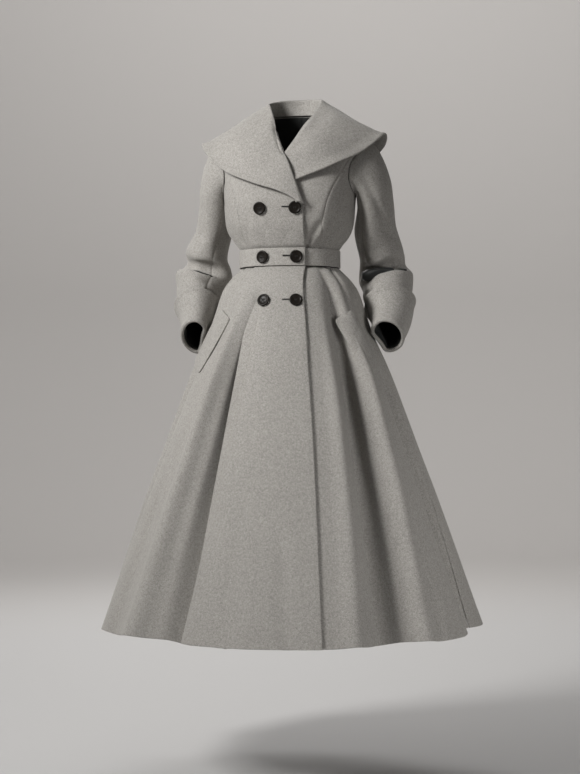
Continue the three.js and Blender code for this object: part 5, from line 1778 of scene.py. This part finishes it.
@dataclass
class Welt:
    """A slanted pocket welt, sewn on along three edges and open at its upper outer one."""

    finish: Finishes
    side: str
    sign: int
    angle: float
    z: float
    length: float = 140.0
    width: float = 62.0
    turn: float = 24.0
    flare: float = 35.0
    lift: float = 3.0
    round: float = 9.0

    def place(self, over: Array, down: Array) -> Array:
        """Gives points on the skirt under the welt.

        Args:
            over: Shares from the sewn edge to the mouth edge.
            down: Shares from the upper end to the lower one.

        Returns:
            The points, at the welt's inside.
        """
        surface = BODY.right_skirt if self.sign < 0 else BODY.skirt
        corner = surface(np.array([self.angle]), np.array([self.z]))[0]
        radius = math.hypot(corner[0], corner[1]) + self.flare
        turn = math.radians(self.turn)
        length, width = self.length * down, self.width * (1 - over)
        back = length * math.sin(turn) - width * math.cos(turn)
        drop = length * math.cos(turn) + width * math.sin(turn)
        at, z = self.angle + self.sign * np.degrees(back / radius), self.z - drop
        lift = self.lift * smooth(over) * np.sin(np.pi * np.clip(down, 0, 1))
        normal = normal_at(surface, at, z)
        return surface(at, z) + normal * (0.8 + lift)[..., None]

    def build(self) -> None:
        """Makes the welt with its rounded corners and its stitching."""
        across = spaced(self.width, 3.4, EDGE_STEPS, STITCH_STEPS)
        down = spaced(self.length, 3.6, STITCH_STEPS, STITCH_STEPS)
        over, fall = np.meshgrid(across, down)
        side, run = over * self.width, fall * self.length
        end = np.minimum(run, self.length - run)
        edge = np.minimum(side, self.width - side)
        short = np.clip(self.round - edge, 0, self.round)
        trim = self.round - np.sqrt(np.maximum(self.round**2 - short**2, 0))
        keep = 1 - smooth(end / (2.2 * self.round))
        run = np.where(run < self.length / 2, run + trim * keep, run - trim * keep)
        base = self.place(over, run / self.length)
        outward = body_outward(base)
        normals = grid_normals(base, outward, False)
        puff = 1.1 * smooth(edge / 14.0) * smooth(end / 18.0)
        groove = -0.4 * bell((self.width - side - STITCH_INSET) / 0.9)
        outer = base + normals * (CLOTH + puff + groove)[..., None]
        dent = Crease([(0.9, 0.2), (0.6, 0.34), (0.25, 0.4)], (6, 9), 1.3)
        second = Crease([(0.95, 0.62), (0.6, 0.7), (0.3, 0.66)], (6, 10), 1.1)
        depth = crease_depth((dent, second), self.place, outer)
        wall = Wall(f"pocket_welt_{self.side}", outer, outward, Endings(last=Ending.THICK), creases=depth)
        column = int(np.argmin(np.abs(self.width - side[0] - STITCH_INSET)))
        line, out = (outer - normals * depth[..., None])[8:-8, column], normals[8:-8, column]
        wall.dress(
            self.finish, [f"skirt_front_{self.side}"], "laid",
            lambda: Stitching(f"welt_stitching_{self.side}", self.finish).build(line, out),
        )


@dataclass
class Buttons:
    """Six round buttons and the three buttonholes that show beside the front edge."""

    finish: Finishes
    seat_gap: float = 0.3
    face_ring: int = 15
    hole: float = 2.1
    pit: float = 1.3
    pit_radius: float = 0.95
    thread: float = 0.36
    strand: float = 0.35
    bars: int = 38
    bar_step: float = 0.76
    rows: Sequence[tuple[str, float, float, float]] = (
        ("top", -219, -45, 39),
        ("waist", -331, -43, 37),
        ("bottom", -436, -28, 47),
    )
    profile: Sequence[tuple[float, float]] = (
        (0.0, 0.2), (4.0, 0.2), (4.3, 1.1), (9.0, 1.2), (12.6, 1.35), (14.2, 1.9), (14.9, 2.9), (15.0, 3.6),
        (14.8, 4.4), (14.2, 5.1), (13.3, 5.6), (12.2, 5.75), (11.2, 5.5), (10.4, 4.95), (9.7, 4.5),
        (8.6, 4.25), (6.5, 4.1), (4.0, 4.05), (1.8, 4.1), (0.0, 4.15),
    )

    def surface(self, row: str) -> Surface:
        """Gives the surface that a row of buttons lies on."""
        return {"top": BODY.right_bodice, "waist": Waistband.over, "bottom": BODY.right_skirt}[row]

    def seat(self, row: str, x: float, z: float) -> tuple[Array, Array, Array, Array]:
        """Gives a button's place on the cloth, and the axes across, up and out there."""
        surface = self.surface(row)
        level = np.array([float(z)])
        angle = BODY.angle_at_x(surface, x, level)
        out = normal_at(surface, angle, level, 2.0, 5.0)[0]
        across = unit(np.cross(np.array([0.0, 0.0, 1.0]), out))
        return surface(angle, level)[0], across, np.cross(out, across), out

    def build_button(self, row: str, side: str, x: float, z: float) -> None:
        """Makes one button with its four holes and the thread in them."""
        place, across, up, out = self.seat(row, x, z)
        turns = np.radians(np.arange(0, 360, 6.0))
        ring = np.outer(np.cos(turns), across) + np.outer(np.sin(turns), up)
        grid = np.array([place + ring * r + out * (h + self.seat_gap) for r, h in self.profile])
        centre = grid[-1].mean(0)
        u, v = (grid - centre) @ across, (grid - centre) @ up
        on_face = np.arange(len(grid))[:, None] >= self.face_ring
        for hole_u in (self.hole, -self.hole):
            for hole_v in (self.hole, -self.hole):
                near = bell(np.hypot(u - hole_u, v - hole_v) / self.pit_radius) * on_face
                grid = grid - out * (self.pit * near)[..., None]
        faces = tube_faces(*grid.shape[:2])
        name = f"button_{row}_{side}"
        made = new_object(name, grid, faces, [self.finish.button.material])
        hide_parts(name)
        self.build_thread(f"button_thread_{row}_{side}", centre, across, up, out)
        log.info("%s: %d faces", name, len(faces))

    def build_thread(self, name: str, centre: Array, across: Array, up: Array, out: Array) -> None:
        """Makes the two bars of thread between a button's holes."""
        points, faces = [], []
        for offset in (-self.hole, self.hole):
            for strand in (-self.strand, self.strand):
                faces += tube_faces(7, 6, len(points))
                for share in np.linspace(-1, 1, 7):
                    middle = centre + across * (offset + strand) + up * share * self.hole
                    middle = middle + out * (0.45 - 1.0 * share**4)
                    for turn in np.radians(np.arange(6) * 60.0):
                        points.append(middle + (across * math.cos(turn) + out * math.sin(turn)) * self.thread)
        made = new_object(name, np.array(points), faces, [self.finish.black_thread.material])

    def build_hole(self, row: str, x: float, z: float) -> None:
        """Makes a buttonhole: a dark slit with close bars of thread on both sides."""
        _, across, up, out = self.seat(row, x, z)
        points, faces = [], []
        surface = self.surface(row)
        base = z + 2.0
        for n in range(self.bars):
            at = x - 3.0 - n * self.bar_step
            for way in (-1, 1):
                level = np.array([base + way * 1.0])
                angle = BODY.angle_at_x(surface, at, level)
                middle = surface(angle, level)[0] + out * 0.3
                faces += tube_faces(4, 6, len(points))
                for share in (-1.0, -0.5, 0.5, 1.0):
                    thick = 0.45 * (1 - 0.5 * share**4)
                    for turn in np.radians(np.arange(6) * 60.0):
                        offset = across * thick * math.cos(turn) + out * thick * math.sin(turn)
                        points.append(middle + up * share * 1.0 + offset - out * 0.3 * share**2)
        new_object(f"buttonhole_{row}", np.array(points), faces, [self.finish.black_thread.material])

    def build(self) -> None:
        """Makes every button and buttonhole."""
        for row, z, right, left in self.rows:
            self.build_button(row, "right", right, z)
            self.build_button(row, "left", left, z)
            self.build_hole(row, left, z)


@dataclass(frozen=True)
class SoftLight:
    """A square light, placed and aimed to the right of the view, towards the camera, and up."""

    name: str
    place: tuple[float, float, float]
    aim: tuple[float, float, float]
    size: float
    power: float
    colour: tuple[float, float, float]
    spread: float = 180.0


LIGHTS = (
    SoftLight("key", (-2.05, 1.6, 0.95), (0.0, 0.0, -0.2), 0.8, 37, (1.0, 0.99, 0.975), 110),
    SoftLight("fill", (2.6, 3.0, -1.1), (0.25, 0.0, -1.0), 0.8, 2.2, (1.0, 0.99, 0.98), 32),
    SoftLight("rear", (-1.6, -3.6, 1.9), (0.0, 0.0, -0.5), 2.4, 36, (1.0, 0.99, 0.98), 120),
    SoftLight("backdrop", (0.1, -3.0, 3.2), (0.1, -6.6, -1.3), 3.0, 142, (1, 0.985, 0.975)),
)


@dataclass
class Studio:
    """The pale sweep, the soft lights and the camera."""

    azimuth: float = 12.0
    distance: float = 4.0
    height: float = -0.636
    lens: float = 77.5
    paper: Colour = (0.58, 0.565, 0.55, 1)
    floor: Colour = (0.57, 0.565, 0.56, 1)
    reach: float = 6.6
    bend: float = 1.5
    top: float = 5.2

    def view_point(self, right: float, near: float, up: float) -> Vector:
        """Gives a place by its distance to the right of the view, towards the camera, and up."""
        a = math.radians(self.azimuth)
        return Vector((
            right * math.cos(a) + near * math.sin(a),
            right * math.sin(a) - near * math.cos(a),
            up,
        ))

    def build_camera(self) -> None:
        """Places the camera level, at the photograph's angle."""
        data = bpy.data.cameras.new("camera")
        data.lens, data.sensor_width = self.lens, 36.0
        data.dof.use_dof = False
        camera = bpy.data.objects.new("camera", data)
        bpy.context.scene.collection.objects.link(camera)
        camera.location = self.view_point(0.0, self.distance, self.height)
        camera.rotation_euler = (math.pi / 2, 0.0, math.radians(self.azimuth))
        bpy.context.scene.camera = camera

    def build_light(self, light: SoftLight) -> None:
        """Adds one of the lights."""
        data = bpy.data.lights.new(light.name, "AREA")
        data.shape, data.size, data.energy, data.color = "SQUARE", light.size, light.power, light.colour
        data.spread = math.radians(light.spread)
        made = bpy.data.objects.new(light.name, data)
        place, aim = self.view_point(*light.place), self.view_point(*light.aim)
        made.location = place
        made.rotation_euler = (place - aim).to_track_quat("Z", "Y").to_euler()
        bpy.context.scene.collection.objects.link(made)

    def varying(self, tree: bpy.types.NodeTree) -> dict:
        """Gives the sweep's paper: the floor's tone near the middle, the wall's farther out."""
        place = add_node(tree, "ShaderNodeTexCoord", {}, {}, "Object")
        away = add_node(tree, "ShaderNodeVectorMath", {"operation": "LENGTH"}, {0: place}, "Value")
        wall = ramp(tree, away + noise(tree, 0.8, 2) * 0.4, 2.7, 5.0)
        return {"Base Color": mix(tree, wall, self.floor, self.paper)}

    def build_sweep(self) -> None:
        """Makes the round floor that curves up into the backdrop on every side."""
        floor = FLOOR_Z * MM
        profile = [(self.reach * share, floor) for share in (0.02, 0.15, 0.3, 0.5, 0.65)]
        for turn in np.radians(np.linspace(0, 90, 15)):
            away = self.reach - self.bend * (1 - math.sin(turn))
            profile.append((away, floor + self.bend * (1 - math.cos(turn))))
        profile.append((self.reach, self.top))
        turns = np.radians(np.arange(0, 360, 3.0))
        points = [(r * math.cos(a), r * math.sin(a), z) for r, z in profile for a in turns]
        faces = tube_faces(len(profile), len(turns)) + [tuple(range(len(turns) - 1, -1, -1))]
        mesh = bpy.data.meshes.new("sweep")
        mesh.from_pydata(points, [], faces)
        mesh.polygons.foreach_set("use_smooth", [True] * len(faces))
        values = {"Roughness": 0.9, "Specular IOR Level": 0.2}
        mesh.materials.append(principled("paper", values, self.varying))
        sweep = bpy.data.objects.new("sweep", mesh)
        bpy.context.scene.collection.objects.link(sweep)

    def build(self) -> None:
        """Sets up the picture."""
        scene = bpy.context.scene
        scene.view_settings.view_transform = "Standard"
        self.build_camera()
        self.build_sweep()
        for light in LIGHTS:
            self.build_light(light)
        world = bpy.data.worlds.new("studio")
        world.use_nodes = True
        background = world.node_tree.nodes["Background"]
        background.inputs["Color"].default_value = (0.98, 0.98, 1.0, 1)
        background.inputs["Strength"].default_value = 0.08
        scene.world = world


def main() -> None:
    """Builds the coat and the studio in order."""
    finish = Finishes()
    Studio().build()
    Bodice(finish).build()
    Waistband(finish).build()
    Skirt(finish).build()
    Collar(finish).build()
    Sleeve(finish, -1).build()
    Sleeve(finish, 1).build()
    Welt(finish, "right", -1, -50.0, -452.0).build()
    Welt(finish, "left", 1, 61.0, -456.0).build()
    Buttons(finish).build()


if __name__ == "__main__":
    logging.basicConfig(level=logging.INFO, format="%(name)s: %(message)s")
    main()
